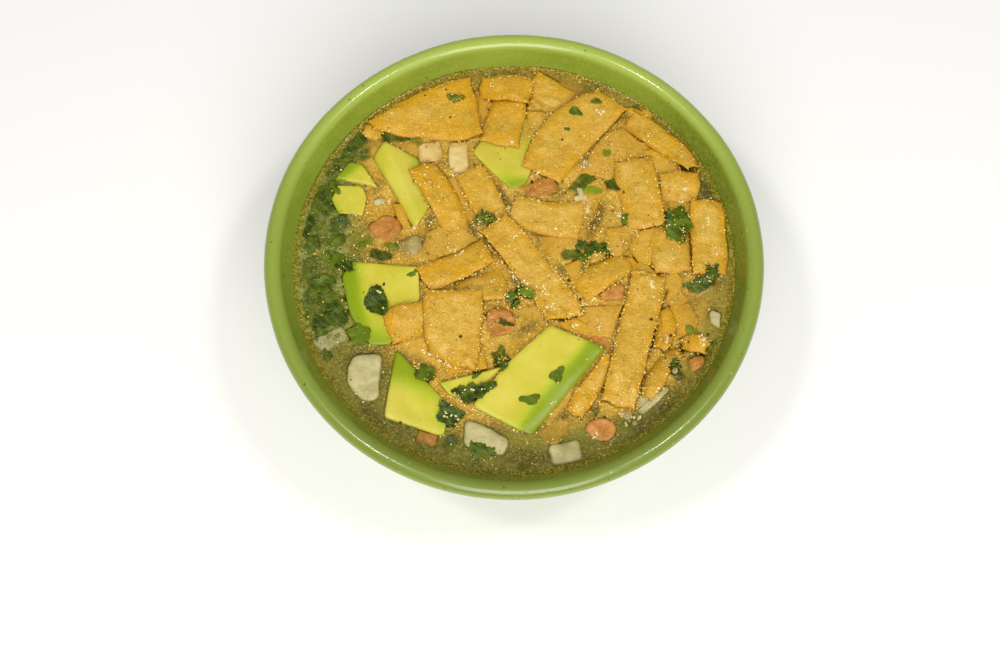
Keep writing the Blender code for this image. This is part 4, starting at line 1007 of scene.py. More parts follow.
surfaceMap = np.maximum(foodMap, level + creepMap)
edgeMap = np.hypot(*np.gradient(blurred(surfaceMap, 0.4), mapCell))
rng = np.random.default_rng(31)


# Random places on the soup, likelier where the weight map is high
def sprinkle(weight, count):
    chance = (weight / weight.sum()).ravel()
    picked = rng.choice(chance.size, size=count, p=chance)
    i, j = np.unravel_index(picked, weight.shape)
    x = i * mapCell - mapReach + rng.uniform(-0.5, 0.5, count) * mapCell
    y = j * mapCell - mapReach + rng.uniform(-0.5, 0.5, count) * mapCell
    return np.column_stack([x, y, readMap(surfaceMap, x, y)])


axis = np.arange(mapSize) * mapCell - mapReach
mapX, mapY = np.meshgrid(axis, axis, indexing="ij")
mapRadius = np.hypot(mapX, mapY)
dropReach = 70.0  # no drop or grain lies nearer to the wall
onSoup = (mapRadius < dropReach).astype(float)
openBroth = onSoup * (foodMap < level - 0.2)
onStrips = onSoup * (foodMap > level + 0.1) * (stripMap >= foodMap - 0.05)
# Oil drops: how many on open broth, along the edges of the food and on strips, and their radii
drops = dict(open=2200, edge=4300, food=650, least=0.14, more=0.30, fewLarge=2.6, tall=0.6, sides=6, rings=2)
# Where they gather: round the middle, along steep edges, in clusters and patches, and hardly on avocado
gather = dict(
    middleX=14, middleY=-4, width=40.0, least=0.25, clusterCell=5.0, patchCell=6.0, offAvocado=0.85,
    thinning=(46, 60), steep=(0.15, 0.8),
)
away = (mapX - gather["middleX"]) ** 2 + (mapY - gather["middleY"]) ** 2
glitter = gather["least"] + (1 - gather["least"]) * np.exp(-away / gather["width"] ** 2)
clustered = 0.2 + smoothStep(smoothNoise(flat(mapX, mapY), gather["clusterCell"], 8), -0.3, 0.7)
offAvocado = 1 - gather["offAvocado"] * blurred(avocadoMap.astype(float), 0.6)
inPatches = 0.2 + smoothStep(smoothNoise(flat(mapX, mapY), gather["patchCell"], 9), 0, 0.6)
dropPlaces = np.vstack([
    sprinkle(openBroth * clustered * (1.2 - smoothStep(mapRadius, *gather["thinning"])), drops["open"]),
    sprinkle(glitter * onSoup * smoothStep(edgeMap, *gather["steep"]) * offAvocado, drops["edge"]),
    sprinkle(glitter * onStrips * inPatches, drops["food"]),
])
dropRadii = drops["least"] + drops["more"] * rng.random(len(dropPlaces)) ** drops["fewLarge"]
dropTones = rng.random(len(dropPlaces))
oilDrops = domes(dropPlaces, dropRadii, drops["tall"], drops["sides"], drops["rings"], tone=dropTones)

# Bubbles: where each lies, and its radius
bubbleSpots = np.array([
    (34.0, -51.4, 1.5), (49.0, -37.2, 1.0), (22.4, 35.8, 1.0), (24.0, 34.6, 0.8), (21.2, 37.4, 0.6),
    (36.2, -54.0, 0.8), (37.6, -52.2, 0.6), (58.8, -26.8, 0.8), (57.2, -25.6, 0.5), (60.0, -28.2, 0.4),
])
bubbleSpots[:, 0] += drift(bubbleSpots[:, 0])
bubbleRows = np.array([(x, y, float(readMap(surfaceMap, np.array([x]), np.array([y]))[0]) - 0.1)
                       for x, y, _ in bubbleSpots])
bubbles = domes(bubbleRows, bubbleSpots[:, 2], 0.8, 24, 8)

# Opaque beads of broth coloured near white as painted highlights, for wet glints and, in runs along the wall,
# the meniscus's highlight: middle of each run, its turn, length, width and how many
glintBeadRuns = [
    (-18, 2.8, 35, 3.4, 1.0, 6), (-1, -4.6, 125, 6, 1.0, 8), (2.2, -6.8, 145, 4, 0.8, 6),
    (8, -10, 120, 5, 2.6, 12), (11, -15.5, 0, 5, 1.6, 7), (21, -14.5, -20, 3, 0.8, 5),
    (18.5, -21.5, 30, 4, 1.2, 7), (26, -21.5, 100, 5, 1.2, 6), (43, -9, 100, 5, 1.8, 8),
    (44, -12.5, 20, 3, 0.8, 5), (46.5, -27.5, 60, 3, 1.2, 5), (58, -27, 100, 4.6, 2.2, 12),
    (34.5, -53.5, 50, 4, 1.2, 6), (37.5, -53, 60, 2.5, 0.8, 4), (32, -51, 60, 3, 1.6, 4),
    (24, -58.5, 40, 3, 1.6, 6), (18.5, -49.5, 45, 3, 0.6, 5), (11.5, -47.5, 10, 3, 0.8, 4),
    (43.5, -43.5, 45, 2, 0.8, 4), (6, 31, 18, 6.4, 0.5, 10), (21.5, 34.8, 90, 2, 1.6, 5),
    (27.5, 53.5, -30, 5, 1.6, 9), (42.5, 53, -40, 2, 0.8, 4), (61, 13, 60, 4, 2.4, 9),
    (33.5, 16, -50, 3, 0.6, 5), (12.5, 11.5, 0, 1, 0.6, 2), (54.5, 25.5, 20, 3, 0.8, 4),
    (53, 21.5, 0, 3, 1.6, 5), (-33, 12.5, 60, 2, 0.8, 4), (-42, 21.5, 10, 4, 1.6, 6),
    (-21, 31, 10, 4, 0.8, 5), (-26.6, -32, -25, 8, 1.0, 12), (-20.5, -35.5, -20, 5, 0.8, 6),
    (-43, -11.5, -30, 4, 0.7, 5), (-13, -44, 0, 8, 1.4, 7), (-20, -52, -20, 6, 2.4, 9),
    (-7, -6.4, 20, 2, 0.8, 3), (0.6, 8.4, 30, 3, 1.4, 4), (-43, 56.4, 37, 11, 0.3, 40),
    (-26, 65.6, 22, 12, 0.3, 44), (-8, 70.2, 6, 7, 0.3, 14), (11, 69.8, -9, 8, 0.3, 18),
    (29.6, 64.2, -25, 7, 0.3, 16), (45.4, 54.6, -40, 6, 0.3, 8), (-1, 42.6, 25, 2.6, 0.6, 4),
    (64, 4, 80, 4, 2, 5), (34, 6, 30, 4, 3, 5), (-30, 29.5, 40, 2, 1, 3),
]
glintBeads = dict(inRuns=(0.18, 0.46), loose=(0.14, 0.3), looseCount=60, cells=4)

# Pepper: where the larger grains lie, the sizes of both kinds, and how many are fine
pepperSpots = np.array([
    (-17.5, -26.3), (-36, -54), (48, -25.7), (60, -25), (24.5, -51.5), (27, -52.5), (16.5, -6.5),
    (20.3, -17.3), (42, -20.8), (-23.5, 62), (-22, 52), (15, 43.5), (59.2, -33.4), (60.6, -35.6),
    (53.4, -28.0), (-42.5, -8.0), (5.0, 28.4), (46.4, -33.0), (-30.6, 60.0), (34.6, 24.6), (20.0, -13.0),
])
pepper = dict(large=(0.34, 0.62), fine=(0.12, 0.3), fineCount=46)
pepperSpots[:, 0] += drift(pepperSpots[:, 0])


# Irregular grains: squashed balls with their radius broken up by noise
def grains(places, sizes, seed, turn=None, cells=3, **marks):
    directions, faces = cubeSphere(cells)
    lumpy = directions[None] * sizes[:, None, None]
    key = directions[None] * 2.0 + np.arange(len(places))[:, None, None] * 7.7
    lumpy = lumpy * (1 + 0.45 * smoothNoise(key, 1.0, seed))[..., None] * np.array([1.0, 0.75, 0.5])
    turn = np.arange(len(places)) * 2.4 if turn is None else turn
    x = lumpy[..., 0] * np.cos(turn)[:, None] - lumpy[..., 1] * np.sin(turn)[:, None]
    y = lumpy[..., 0] * np.sin(turn)[:, None] + lumpy[..., 1] * np.cos(turn)[:, None]
    points = places[:, None, :] + np.stack([x, y, lumpy[..., 2]], axis=-1)
    groups = (faces[None] + (np.arange(len(places)) * len(directions))[:, None, None]).reshape(-1, 4)
    spread = {name: np.repeat(values, len(directions)) for name, values in marks.items()}
    return shapeOf(points.reshape(-1, 3), groups, **spread)


spotHeights = readMap(surfaceMap, pepperSpots[:, 0], pepperSpots[:, 1])
largePepper = np.column_stack([pepperSpots, spotHeights + 0.1])
smallPepper = sprinkle(onSoup, pepper["fineCount"])
pepperPlaces = np.vstack([largePepper, smallPepper])
pepperSizes = np.concatenate([
    rng.uniform(*pepper["large"], len(largePepper)), rng.uniform(*pepper["fine"], pepper["fineCount"])])
pepperShape = grains(pepperPlaces, pepperSizes, 3, tone=rng.random(len(pepperPlaces)))
runs = np.repeat(np.array(glintBeadRuns, float), [run[5] for run in glintBeadRuns], axis=0)
turns = np.radians(runs[:, 2])
along = rng.uniform(-0.5, 0.5, len(runs)) * runs[:, 3]
across = rng.uniform(-0.5, 0.5, len(runs)) * runs[:, 4]
glintBeadX = runs[:, 0] + drift(runs[:, 0]) + along * np.cos(turns) - across * np.sin(turns)
glintBeadY = runs[:, 1] + along * np.sin(turns) + across * np.cos(turns)
glintBeadPlaces = np.vstack([
    np.column_stack([glintBeadX, glintBeadY, readMap(surfaceMap, glintBeadX, glintBeadY)]),
    sprinkle(onStrips, glintBeads["looseCount"])])
glintBeadSizes = np.concatenate([
    rng.uniform(*glintBeads["inRuns"], len(runs)), rng.uniform(*glintBeads["loose"], glintBeads["looseCount"])])
glintBeadTurns = np.concatenate([turns, rng.uniform(0, 6, glintBeads["looseCount"])])
glintBeadShape = grains(glintBeadPlaces, glintBeadSizes, 6, glintBeadTurns, glintBeads["cells"])

# Herb specks: how many among the leaves at the left, along the wall and in deep broth, and their sizes
herbs = dict(
    left=260, wall=220, deep=80, least=0.18, more=0.45, leftOf=-48, nearEnd=-34, farEnd=50, ring=(60, 69))
amongLeaves = (mapX < herbs["leftOf"]) * (mapY > herbs["nearEnd"]) * (mapY < herbs["farEnd"])
deepBroth = openBroth * (foodMap < level - 1)
herbPlaces = np.vstack([
    sprinkle(openBroth * amongLeaves, herbs["left"]),
    sprinkle(deepBroth * smoothStep(mapRadius, *herbs["ring"]), herbs["wall"]),
    sprinkle(deepBroth, herbs["deep"]),
])
herbSizes = herbs["least"] + herbs["more"] * rng.random(len(herbPlaces)) ** 2
herbShape = grains(herbPlaces, herbSizes, 9, tone=rng.random(len(herbPlaces)))
print("drops, pepper and herbs shaped")


# Materials

# An 8-bit colour seen in the photograph, as the share of white light that the surface gives back
seenShare = 0.88


def paint(red, green, blue):
    share = np.array([red, green, blue]) / 255
    linear = seenShare * np.where(share <= 0.04045, share / 12.92, ((share + 0.055) / 1.055) ** 2.4)
    return tuple(float(value) for value in linear)


# A number somewhere in a material's graph: arithmetic on it adds Math nodes
class Amount:
    def __init__(self, graph, socket):
        self.graph = graph
        self.socket = socket

    def maths(self, operation, *others):
        return self.graph.node("Math", {"operation": operation}, dict(enumerate(others)))

    def __add__(self, other):
        return self.maths("ADD", self, other)

    def __mul__(self, other):
        return self.maths("MULTIPLY", self, other)

    def __sub__(self, other):
        return self.maths("SUBTRACT", self, other)

    def __rsub__(self, other):
        return self.maths("SUBTRACT", other, self)

    __radd__, __rmul__ = __add__, __mul__

    # A smooth step from 0 at low to 1 at high
    def step(self, low, high):
        ends = {"Value": self, "From Min": low, "From Max": high}
        return self.graph.node("MapRange", {"interpolation_type": "SMOOTHSTEP"}, ends)

    def most(self, other):
        return self.maths("MAXIMUM", self, other)


# A material's graph, ending in one Principled shader
class Finish:
    def __init__(self, name, colours, **constants):
        self.colours = colours
        self.colour = None
        self.material = bpy.data.materials.new(name)
        self.material.use_nodes = True
        self.tree = self.material.node_tree
        self.shader = self.tree.nodes["Principled BSDF"]
        for key, value in constants.items():
            self.put(self.shader.inputs[key.replace("_", " ")], value)
        self.place = self.node("TexCoord", {}, {}, "Object")

    def put(self, socket, value):
        if isinstance(value, Amount):
            self.tree.links.new(value.socket, socket)
        elif socket.type == "RGBA" and len(value) == 3:
            socket.default_value = (*value, 1.0)
        else:
            socket.default_value = value

    def node(self, kind, settings, inputs, output=0):
        made = self.tree.nodes.new("ShaderNode" + kind)
        for key, value in settings.items():
            setattr(made, key, value)
        for key, value in inputs.items():
            self.put(made.inputs[key], value)
        return Amount(self, made.outputs[output])

    # Noise with features about size mm across, shifted so that no two are alike
    def noise(self, size, detail=2.0, shift=0.0, stretch=(1, 1, 1), roughness=0.5):
        place = self.node("Mapping", {}, {
            "Vector": self.place, "Location": (shift, shift * 0.7, shift * 1.3), "Scale": stretch})
        return self.node("TexNoise", {}, {
            "Vector": place, "Scale": 1 / (size * mm), "Detail": detail, "Roughness": roughness})

    # The distance to the nearest of scattered points about size mm apart, in their own spacing
    def cells(self, size, shift=0.0):
        place = self.node("Mapping", {}, {
            "Vector": self.place, "Location": (shift, shift * 0.7, shift * 1.3)})
        return self.node("TexVoronoi", {}, {"Vector": place, "Scale": 1 / (size * mm)})

    def mark(self, name):
        return self.node("Attribute", {"attribute_name": name}, {}, "Fac")

    # Two colours, each one of its own by name or one made before, blended by a factor
    def mix(self, factor, *pair):
        first, second = (paint(*self.colours[one]) if isinstance(one, str) else one for one in pair)
        return self.node("Mix", {"data_type": "RGBA"}, {0: factor, 6: first, 7: second}, 2)

    # Lays a colour over what is there, by an amount
    def coat(self, amount, colour):
        self.colour = self.mix(amount, self.colour, colour)

    def bump(self, height, depth, strength=1.0):
        return self.node("Bump", {}, {"Strength": strength, "Distance": depth * mm, "Height": height})

    def finish(self, **links):
        for key, value in {"Base_Color": self.colour, **links}.items():
            self.put(self.shader.inputs[key.replace("_", " ")], value)
        return self.material


# The right side and lip colours below are painted shade and light, not the glaze's own colour
glazeColours = dict(
    dark=(128, 148, 38), light=(144, 164, 52), shadedRightSide=(98, 116, 26), grain=(166, 182, 80),
    shadedNearLip=(118, 134, 46), halfLitMiddleLip=(146, 166, 62), litFarLip=(176, 196, 82), pit=(74, 84, 26),
    fleck=(206, 218, 140), bareClay=(196, 172, 132),
)


def glazeFinish():
    g = Finish("green glaze", glazeColours, Coat_Weight=0.3, Coat_Roughness=0.05, IOR=1.5)
    broad, fine = g.noise(22, 3), g.noise(1.1, 3, 3.1)
    g.colour = g.mix(broad.step(0.3, 0.7), "dark", "light")
    right = g.node("SeparateXYZ", {}, {"Vector": g.place}, "X")
    # Painted shade: the glaze on the bowl's right side is darkened
    g.coat(right.step(0.035, 0.065) * 0.75, "shadedRightSide")
    g.coat(fine.step(0.35, 0.75) * 0.35, "grain")
    height = g.node("SeparateXYZ", {}, {"Vector": g.place}, "Z")
    far = g.node("SeparateXYZ", {}, {"Vector": g.place}, "Y")
    # Painted light and shade on the lip's top: darkened on the near side, lightened on the far side
    lip = g.mix(far.step(-0.08, 0.0), "shadedNearLip", "halfLitMiddleLip")
    lip = g.mix(far.step(0.0, 0.07), lip, "litFarLip")
    g.coat(height.step(0.0668, 0.0694) * (0.75 + 0.2 * fine), lip)
    pits = g.noise(1.7, 1, 8.3).step(0.73, 0.78)
    g.coat(pits * 0.75, "pit")
    flecks = g.noise(1.3, 1, 17.0).step(0.76, 0.8)
    g.coat(flecks * 0.6, "fleck")
    bare = 1 - height.step(0.0006, 0.0012)
    g.coat(bare, "bareClay")
    rough = 0.2 + 0.12 * g.noise(6, 2, 5.0) + 0.5 * bare
    bump = g.bump(g.noise(3.2, 3, 2.0) + pits * -0.6, 0.05, 0.5)
    return g.finish(Roughness=rough, Normal=bump)


tortillaColours = dict(
    light=(216, 172, 56), dark=(196, 148, 34), oily=(220, 162, 4), pale=(226, 186, 86),
    blister=(224, 188, 90), lightSpot=(238, 196, 64), darkSpot=(176, 128, 20), lightGrain=(252, 216, 88),
    darkGrain=(168, 120, 18), film=(210, 154, 26), rim=(206, 144, 6), dot=(140, 98, 24),
)


def tortillaFinish():
    g = Finish("fried tortilla", tortillaColours, IOR=1.38)
    reach, tone, blister = g.mark("reach"), g.mark("tone"), g.mark("blister")
    broad, mid = g.noise(8, 3), g.noise(2.4, 3, 4.0)
    small, grain = g.noise(1.0, 3, 14.0, roughness=0.6), g.noise(0.5, 3, 9.0, roughness=0.7)
    g.colour = g.mix(mid.step(0.3, 0.7), "light", "dark")
    inner = reach.step(1.2, 4.6) * (0.7 - 0.5 * tone)
    oily = (broad - 0.12 * inner + (tone - 0.5) * 0.36 + (mid - 0.5) * 0.3).step(0.42, 0.62)
    g.coat(oily * 0.8, "oily")
    pale = (broad * -1 + 1 - (tone - 0.5) * 0.3).step(0.56, 0.72)
    g.coat(pale.most(inner * 0.6) * 0.7, "pale")
    g.coat(blister * 0.45 * (1 - oily * 0.6), "blister")
    g.coat(small.step(0.5, 0.7) * 0.35, "lightSpot")
    g.coat((1 - small).step(0.52, 0.72) * 0.45, "darkSpot")
    g.coat(grain.step(0.52, 0.72) * 0.5, "lightGrain")
    g.coat((1 - grain).step(0.54, 0.76) * 0.4, "darkGrain")
    film = (1 - (reach + (broad - 0.5) * 3.0).step(0.4, 3.0))
    g.coat(film * 0.5, "film")
    rim = (1 - (reach + (mid - 0.5) * 0.9).step(0.1, 0.8))
    g.coat(rim * (0.2 + 0.35 * tone), "rim")
    dots = g.noise(1.5, 1, 15.0).step(0.79, 0.82)
    g.coat(dots * 0.6, "dot")
    wet = g.noise(5.5, 2, 23.0).step(0.42, 0.58)
    rough = 0.3 - 0.2 * wet + 0.06 * mid
    height = grain * 0.5 + small * 0.9 + (1 - g.cells(0.8, 3.0)).step(0.5, 0.95) * 0.4 + mid * 1.6
    return g.finish(Roughness=rough, Normal=g.bump(height, 0.2))


avocadoColours = dict(
    flesh=(216, 204, 72), deepFlesh=(206, 196, 52), lightPatch=(228, 214, 96), greenPatch=(196, 192, 48),
    turning=(182, 194, 40), green=(144, 166, 0), skin=(112, 140, 0), grain=(230, 222, 112),
    dot=(176, 150, 34),
)


def avocadoFinish():
    g = Finish("cut avocado", avocadoColours, IOR=1.4)
    skin = g.mark("skin")
    broad, fine = g.noise(6, 3), g.noise(0.8, 3, 2.0)
    g.colour = g.mix(broad.step(0.3, 0.7), "flesh", "deepFlesh")
    patches = g.noise(13, 2, 4.0)
    g.coat(patches.step(0.45, 0.65) * 0.5, "lightPatch")
    g.coat((1 - patches).step(0.5, 0.7) * 0.5, "greenPatch")
    turning = (skin + (broad - 0.5) * 0.12)
    g.coat(turning.step(0.0, 0.5), "turning")
    g.coat(turning.step(0.35, 0.85), "green")
    g.coat(turning.step(0.8, 1.1) * 0.4, "skin")
    g.coat(fine.step(0.45, 0.8) * (0.2 - 0.14 * skin), "grain")
    dots = g.noise(1.9, 1, 12.0).step(0.75, 0.79)
    g.coat(dots * 0.35, "dot")
    strokes = g.noise(2.4, 3, 6.0, (1, 3.5, 1))
    height = strokes * 0.7 + fine * 0.4
    return g.finish(Roughness=0.24 + 0.16 * broad, Normal=g.bump(height, 0.1, 0.5))


# The side colours are painted shade on the faces of a chunk that don't face up
onionColours = dict(
    light=(206, 196, 142), dark=(184, 174, 112), fibre=(218, 210, 164), lightGrain=(228, 218, 172),
    darkGrain=(152, 138, 80), warm=(244, 216, 142), side=(164, 148, 84), warmShadedSide=(226, 180, 80),
)


def onionFinish():
    g = Finish("cooked onion", onionColours, Subsurface_Weight=0.15, Subsurface_Scale=0.002, IOR=1.4)
    broad, fine = g.noise(4, 3), g.noise(0.5, 3, 2.0, roughness=0.7)
    fibres = g.noise(1.6, 3, 6.0, (1, 4, 1))
    g.colour = g.mix(broad.step(0.3, 0.7), "light", "dark")
    g.coat(fibres.step(0.4, 0.7) * 0.35, "fibre")
    g.coat(fine.step(0.5, 0.75) * 0.4, "lightGrain")
    g.coat((1 - fine).step(0.55, 0.75) * 0.35, "darkGrain")
    warm = g.mark("tone").step(0.3, 1.0)
    g.coat(warm * 0.8, "warm")
    # Painted shade: the chunk's sides, away from its upward crown, are darkened
    side = 1 - g.mark("crown") * (0.8 + 0.4 * broad)
    g.coat(side.step(0.2, 1.0) * 0.35, g.mix(warm, "side", "warmShadedSide"))
    return g.finish(Roughness=0.22 + 0.2 * broad, Normal=g.bump(fine + fibres, 0.12, 0.6))


# The side colour is painted shade on the faces of a chunk that don't face up
tomatoColours = dict(
    light=(206, 140, 58), dark=(178, 110, 34), lightGrain=(236, 176, 96), darkGrain=(140, 84, 22),
    side=(176, 116, 34),
)


def tomatoFinish():
    g = Finish("cooked tomato", tomatoColours, IOR=1.42)
    broad, fine = g.noise(3, 3), g.noise(0.55, 3, 2.0, roughness=0.7)
    g.colour = g.mix(broad.step(0.3, 0.7), "light", "dark")
    g.coat(fine.step(0.52, 0.75) * 0.55, "lightGrain")
    g.coat((1 - fine).step(0.55, 0.78) * 0.5, "darkGrain")
    # Painted shade: the chunk's sides, away from its upward crown, are darkened
    side = 1 - g.mark("crown") * (0.8 + 0.4 * broad)
    g.coat(side.step(0.2, 1.0) * 0.35, "side")
    return g.finish(Roughness=0.22 + 0.2 * broad, Normal=g.bump(fine + broad, 0.18, 0.8))


leafColours = dict(
    dark=(44, 62, 0), light=(98, 120, 4), young=(134, 160, 14), lightGrain=(116, 136, 22),
    darkGrain=(24, 38, 0), vein=(116, 138, 44),
)


def leafFinish():
    g = Finish("wet herb leaf", leafColours, IOR=1.32)
    tone, reach = g.mark("tone"), g.mark("reach")
    broad, fine = g.noise(3.2, 3), g.noise(0.6, 3, 2.0, roughness=0.65)
    g.colour = g.mix((broad + (tone - 0.5) * 0.5).step(0.25, 0.75), "dark", "light")
    g.coat(tone.step(0.9, 1.2) * 0.8, "young")
    g.coat(fine.step(0.5, 0.75) * 0.25, "lightGrain")
    g.coat((1 - fine).step(0.55, 0.78) * 0.4, "darkGrain")
    veins = g.node("TexWave", {"wave_type": "BANDS", "bands_direction": "DIAGONAL"}, {
        "Vector": g.place, "Scale": 190.0, "Distortion": 5.0, "Detail": 2.0})
    g.coat(veins.step(0.8, 0.98) * 0.25, "vein")
    height = veins * 0.5 + fine
    return g.finish(Roughness=0.2 + 0.22 * broad, Normal=g.bump(height, 0.14, 0.8))


# The gap colours are painted shade between the pieces; the bright sparkle and speck colours are painted
# glints
brothColours = dict(
    golden=(190, 142, 38), lightGolden=(222, 174, 66), olive=(96, 92, 36), lightOlive=(126, 120, 48),
    goldenCloud=(162, 120, 26), oliveCloud=(84, 78, 22), goldenGapShade=(100, 80, 32), oliveGapShade=(80, 72, 30),
    leafy=(92, 106, 30), lightLeafy=(148, 160, 80), goldenRing=(128, 100, 0), oliveRing=(116, 110, 0),
    goldenGlint=(250, 214, 108), oliveGlint=(180, 164, 78), gapGlint=(170, 152, 92),
    glintSpeck=(252, 222, 124), goldenFleck=(132, 96, 18), oliveFleck=(56, 52, 12),
)


def brothFinish():
    g = Finish("soup broth", brothColours, IOR=1.3)
    veil, murk, wall = g.mark("veil"), g.mark("murk"), g.mark("wall")
    gap, sparkle, green = g.mark("gap"), g.mark("sparkle"), g.mark("green")
    broad, mid = g.noise(7, 4), g.noise(1.8, 3, 3.0)
    small, fine = g.noise(1.2, 3, 12.0, roughness=0.65), g.noise(0.62, 3, 6.0, roughness=0.7)
    golden = g.mix(broad.step(0.3, 0.7), "golden", "lightGolden")
    olive = g.mix(broad.step(0.35, 0.65), "olive", "lightOlive")
    g.colour = g.mix(murk, golden, olive)
    cloud = g.mix(murk, "goldenCloud", "oliveCloud")
    g.coat((1 - mid).step(0.5, 0.75) * 0.35, cloud)
    # Painted shade in the gaps between the pieces
    g.coat(gap * 0.95, g.mix(murk, "goldenGapShade", "oliveGapShade"))
    leafy = g.mix(mid.step(0.4, 0.6), "leafy", "lightLeafy")
    g.coat(green * (0.5 + 0.5 * broad.step(0.3, 0.6)) * 0.9, leafy)
    ring = (1 - (wall + mid * 1.6).step(1.8, 3.8)) * mid.step(0.2, 0.45)
    g.coat(ring * 0.9, g.mix(murk, "goldenRing", "oliveRing"))
    # Painted glints: golden oil flecks lightened nearly to white, as dots and specks on the broth
    glint = g.mix(murk, "goldenGlint", "oliveGlint")
    glint = g.mix(gap * 0.7, glint, "gapGlint")
    lively = (0.35 + 0.65 * sparkle).most(ring * 0.9)
    g.coat(small.step(0.52, 0.66) * 0.4, glint)
    g.coat(fine.step(0.52, 0.62) * lively * 0.8, glint)
    specks = (1 - g.cells(0.7, 5.0)).step(0.7, 0.88) * mid.step(0.4, 0.6) * lively
    g.coat(specks * 0.8, "glintSpeck")
    dark = (1 - fine).step(0.52, 0.64) * lively
    g.coat(dark * 0.6, g.mix(murk, "goldenFleck", "oliveFleck"))
    # A half clear film shades what lies below it, so it is painted lighter there
    g.colour = g.node("VectorMath", {"operation": "SCALE"}, {0: g.colour, "Scale": 1 + (1 - veil) * 0.55})
    height = (1 - g.cells(0.7, 5.0)).step(0.5, 0.95) * sparkle * 2 + fine * 0.6 + small * 1.2 + mid * 2
    alpha = (veil + specks * 0.2 + (fine - 0.5) * 0.6 * veil).most(0.03)
    return g.finish(Roughness=0.06 + 0.1 * mid, Alpha=alpha, Normal=g.bump(height, 0.07))


oilColours = dict(
    dark=(178, 132, 36), golden=(230, 188, 70), light=(254, 232, 140),
)


def oilFinish():
    g = Finish("golden oil", oilColours, IOR=1.46)
    tone = g.mark("tone")
    g.colour = g.mix(tone.step(0.1, 0.35), "dark", "golden")
    g.coat(tone.step(0.4, 0.9), "light")
    return g.finish(Roughness=0.06 + 0.1 * g.noise(0.5))


bubbleColours = dict(
    golden=(236, 208, 128), light=(255, 240, 190),
)


def bubbleFinish():
    g = Finish("bubble skin", bubbleColours, IOR=1.45)
    g.colour = g.mix(g.noise(0.8).step(0.3, 0.7), "golden", "light")
    clear = g.mark("crown").step(0.1, 0.75)
    rough = 0.02 + 0.05 * g.noise(0.6, 2, 3.0)
    return g.finish(Roughness=rough, Alpha=0.85 - 0.55 * clear)


glintBeadColours = dict(
    golden=(246, 220, 140), light=(255, 248, 214),
)


# Painted highlights: the beads stand for droplets but are coloured near white, as glints
def glintBeadFinish():
    g = Finish("beads of broth", glintBeadColours, IOR=1.5)
    g.colour = g.mix(g.noise(0.8).step(0.3, 0.7), "golden", "light")
    return g.finish(Roughness=0.04 + 0.06 * g.noise(0.6, 2, 3.0))


pepperColours = dict(
    dark=(34, 26, 0), light=(84, 58, 10), grain=(92, 74, 36),
)


def pepperFinish():
    g = Finish("ground pepper", pepperColours)
    g.colour = g.mix(g.mark("tone"), "dark", "light")
    g.coat(g.noise(0.3, 2).step(0.5, 0.7) * 0.4, "grain")
    return g.finish(Roughness=0.4 + 0.3 * g.noise(0.5), Normal=g.bump(g.noise(0.3), 0.08))


herbColours = dict(
    dark=(80, 94, 22), light=(128, 140, 52), grain=(150, 160, 90),
)


def herbFinish():
    g = Finish("herb specks", herbColours)
    g.colour = g.mix(g.mark("tone"), "dark", "light")
    g.coat(g.noise(0.3, 2).step(0.5, 0.7) * 0.4, "grain")
    return g.finish(Roughness=0.3 + 0.3 * g.noise(0.5), Normal=g.bump(g.noise(0.3), 0.08))


tortillaSkin, leafSkin = tortillaFinish(), leafFinish()
chunkSkins = {"avocado": avocadoFinish(), "onion": onionFinish(), "tomato": tomatoFinish()}
print("materials made")


# The pieces

makePiece("glazed_bowl", bowlShape(), glazeFinish(), ["bowl"])
makePiece("murky_broth", brothShape(), brothFinish(), ["broth"])
for name, shape in strips.items():
    makePiece(name + "_fried", shape, tortillaSkin, [name])
for name, shape in chunks.items():
    kind = name.split("_")[0]
    makePiece(name + "_cut", shape, chunkSkins[kind], [name])
for name, shape in leaves.items():
    makePiece(name + "_wet", shape, leafSkin, [name])
makePiece("sunk_tortilla", sunkTortilla, tortillaSkin)
makePiece("sunk_onion", sunkKinds["onion"], chunkSkins["onion"])
makePiece("sunk_tomato", sunkKinds["tomato"], chunkSkins["tomato"])
makePiece("loose_leaves", looseLeaves, leafSkin)
makePiece("leaf_scraps", joined(leafScraps), leafSkin)
makePiece("oil_drops", oilDrops, oilFinish())
makePiece("bubbles", bubbles, bubbleFinish())
makePiece("glint_beads", glintBeadShape, glintBeadFinish())
makePiece("pepper", pepperShape, pepperFinish())
makePiece("herb_specks", herbShape, herbFinish())
print("pieces made")


# Floor, lights and camera

lamps = {
    "left lamp": dict(place=(-0.34, -0.12, 1.02), size=0.11, power=2.0, tint=(1.0, 0.98, 0.94)),
    "right lamp": dict(place=(0.36, -0.08, 1.02), size=0.11, power=1.8, tint=(1.0, 0.98, 0.95)),
    "front": dict(place=(0.05, -0.70, 0.82), size=0.7, power=8.6, tint=(1.0, 0.99, 0.97)),
}
aim = Vector((0, 0, 0.06))
for name, lamp in lamps.items():
    light = bpy.data.lights.new(name, "AREA")
    light.shape = "SQUARE"
    light.size = lamp["size"]
    light.energy = lamp["power"]
    light.color = lamp["tint"]
    holder = bpy.data.objects.new(name, light)
    holder.location = lamp["place"]
    holder.rotation_euler = (aim - Vector(lamp["place"])).to_track_quat("-Z", "Y").to_euler()
    bpy.context.scene.collection.objects.link(holder)
skyLook = dict(tint=(1, 0.98, 0.94), strength=0.34)
world = bpy.data.worlds.new("soft studio")
world.use_nodes = True
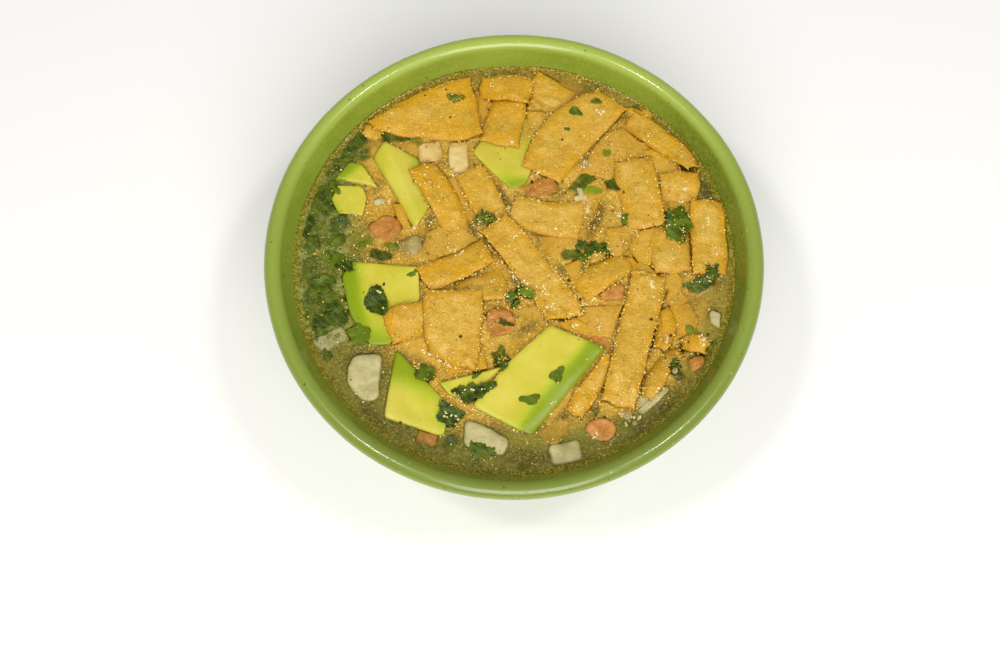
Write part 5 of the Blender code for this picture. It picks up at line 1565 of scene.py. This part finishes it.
sky = world.node_tree.nodes["Background"]
sky.inputs["Color"].default_value = (*skyLook["tint"], 1)
sky.inputs["Strength"].default_value = skyLook["strength"]
bpy.context.scene.world = world

floorLook = dict(reach=3.0, shade=0.95, roughness=0.8)
floorMesh = bpy.data.meshes.new("floor")
reach = floorLook["reach"]
floorMesh.from_pydata([(-reach, -reach, 0), (reach, -reach, 0), (reach, reach, 0), (-reach, reach, 0)], [],
                      [(0, 1, 2, 3)])
floor = bpy.data.objects.new("floor", floorMesh)
bpy.context.scene.collection.objects.link(floor)
floorPaint = bpy.data.materials.new("pale floor")
floorPaint.use_nodes = True
floorShader = floorPaint.node_tree.nodes["Principled BSDF"]
floorShader.inputs["Base Color"].default_value = (*[floorLook["shade"]] * 3, 1)
floorShader.inputs["Roughness"].default_value = floorLook["roughness"]
floorMesh.materials.append(floorPaint)

# The photograph is taken from 67.7 degrees above, 480 mm from a point over the rim's middle. That point
# shows at targetPixel of the 1000 x 667 frame.
view = dict(elevation=67.6871, distance=480.0, target=(0.0, 0.0, 68.5), targetPixel=(513.381, 253.306),
            focalPixels=1500.0, width=1000, height=667)
rise = math.radians(view["elevation"])
back = Vector((0, -math.cos(rise), math.sin(rise)))
spot = (Vector(view["target"]) + view["distance"] * back) * mm
upright = Matrix([Vector((1, 0, 0)), back.cross(Vector((1, 0, 0))), back])
toTarget = Vector((
    (view["targetPixel"][0] - view["width"] / 2) / view["focalPixels"],
    (view["height"] / 2 - view["targetPixel"][1]) / view["focalPixels"], -1)).normalized()
pan = Vector((0, 0, -1)).rotation_difference(toTarget).to_matrix()
camera = bpy.data.cameras.new("camera")
camera.sensor_width = 36.0
camera.lens = 36.0 * view["focalPixels"] / view["width"]
eye = bpy.data.objects.new("camera", camera)
eye.matrix_world = Matrix.Translation(spot) @ (pan @ upright).transposed().to_4x4()
bpy.context.scene.collection.objects.link(eye)
bpy.context.scene.camera = eye
bpy.context.scene.view_settings.view_transform = "Standard"
print("camera and lights set")

bpy.context.view_layer.update()
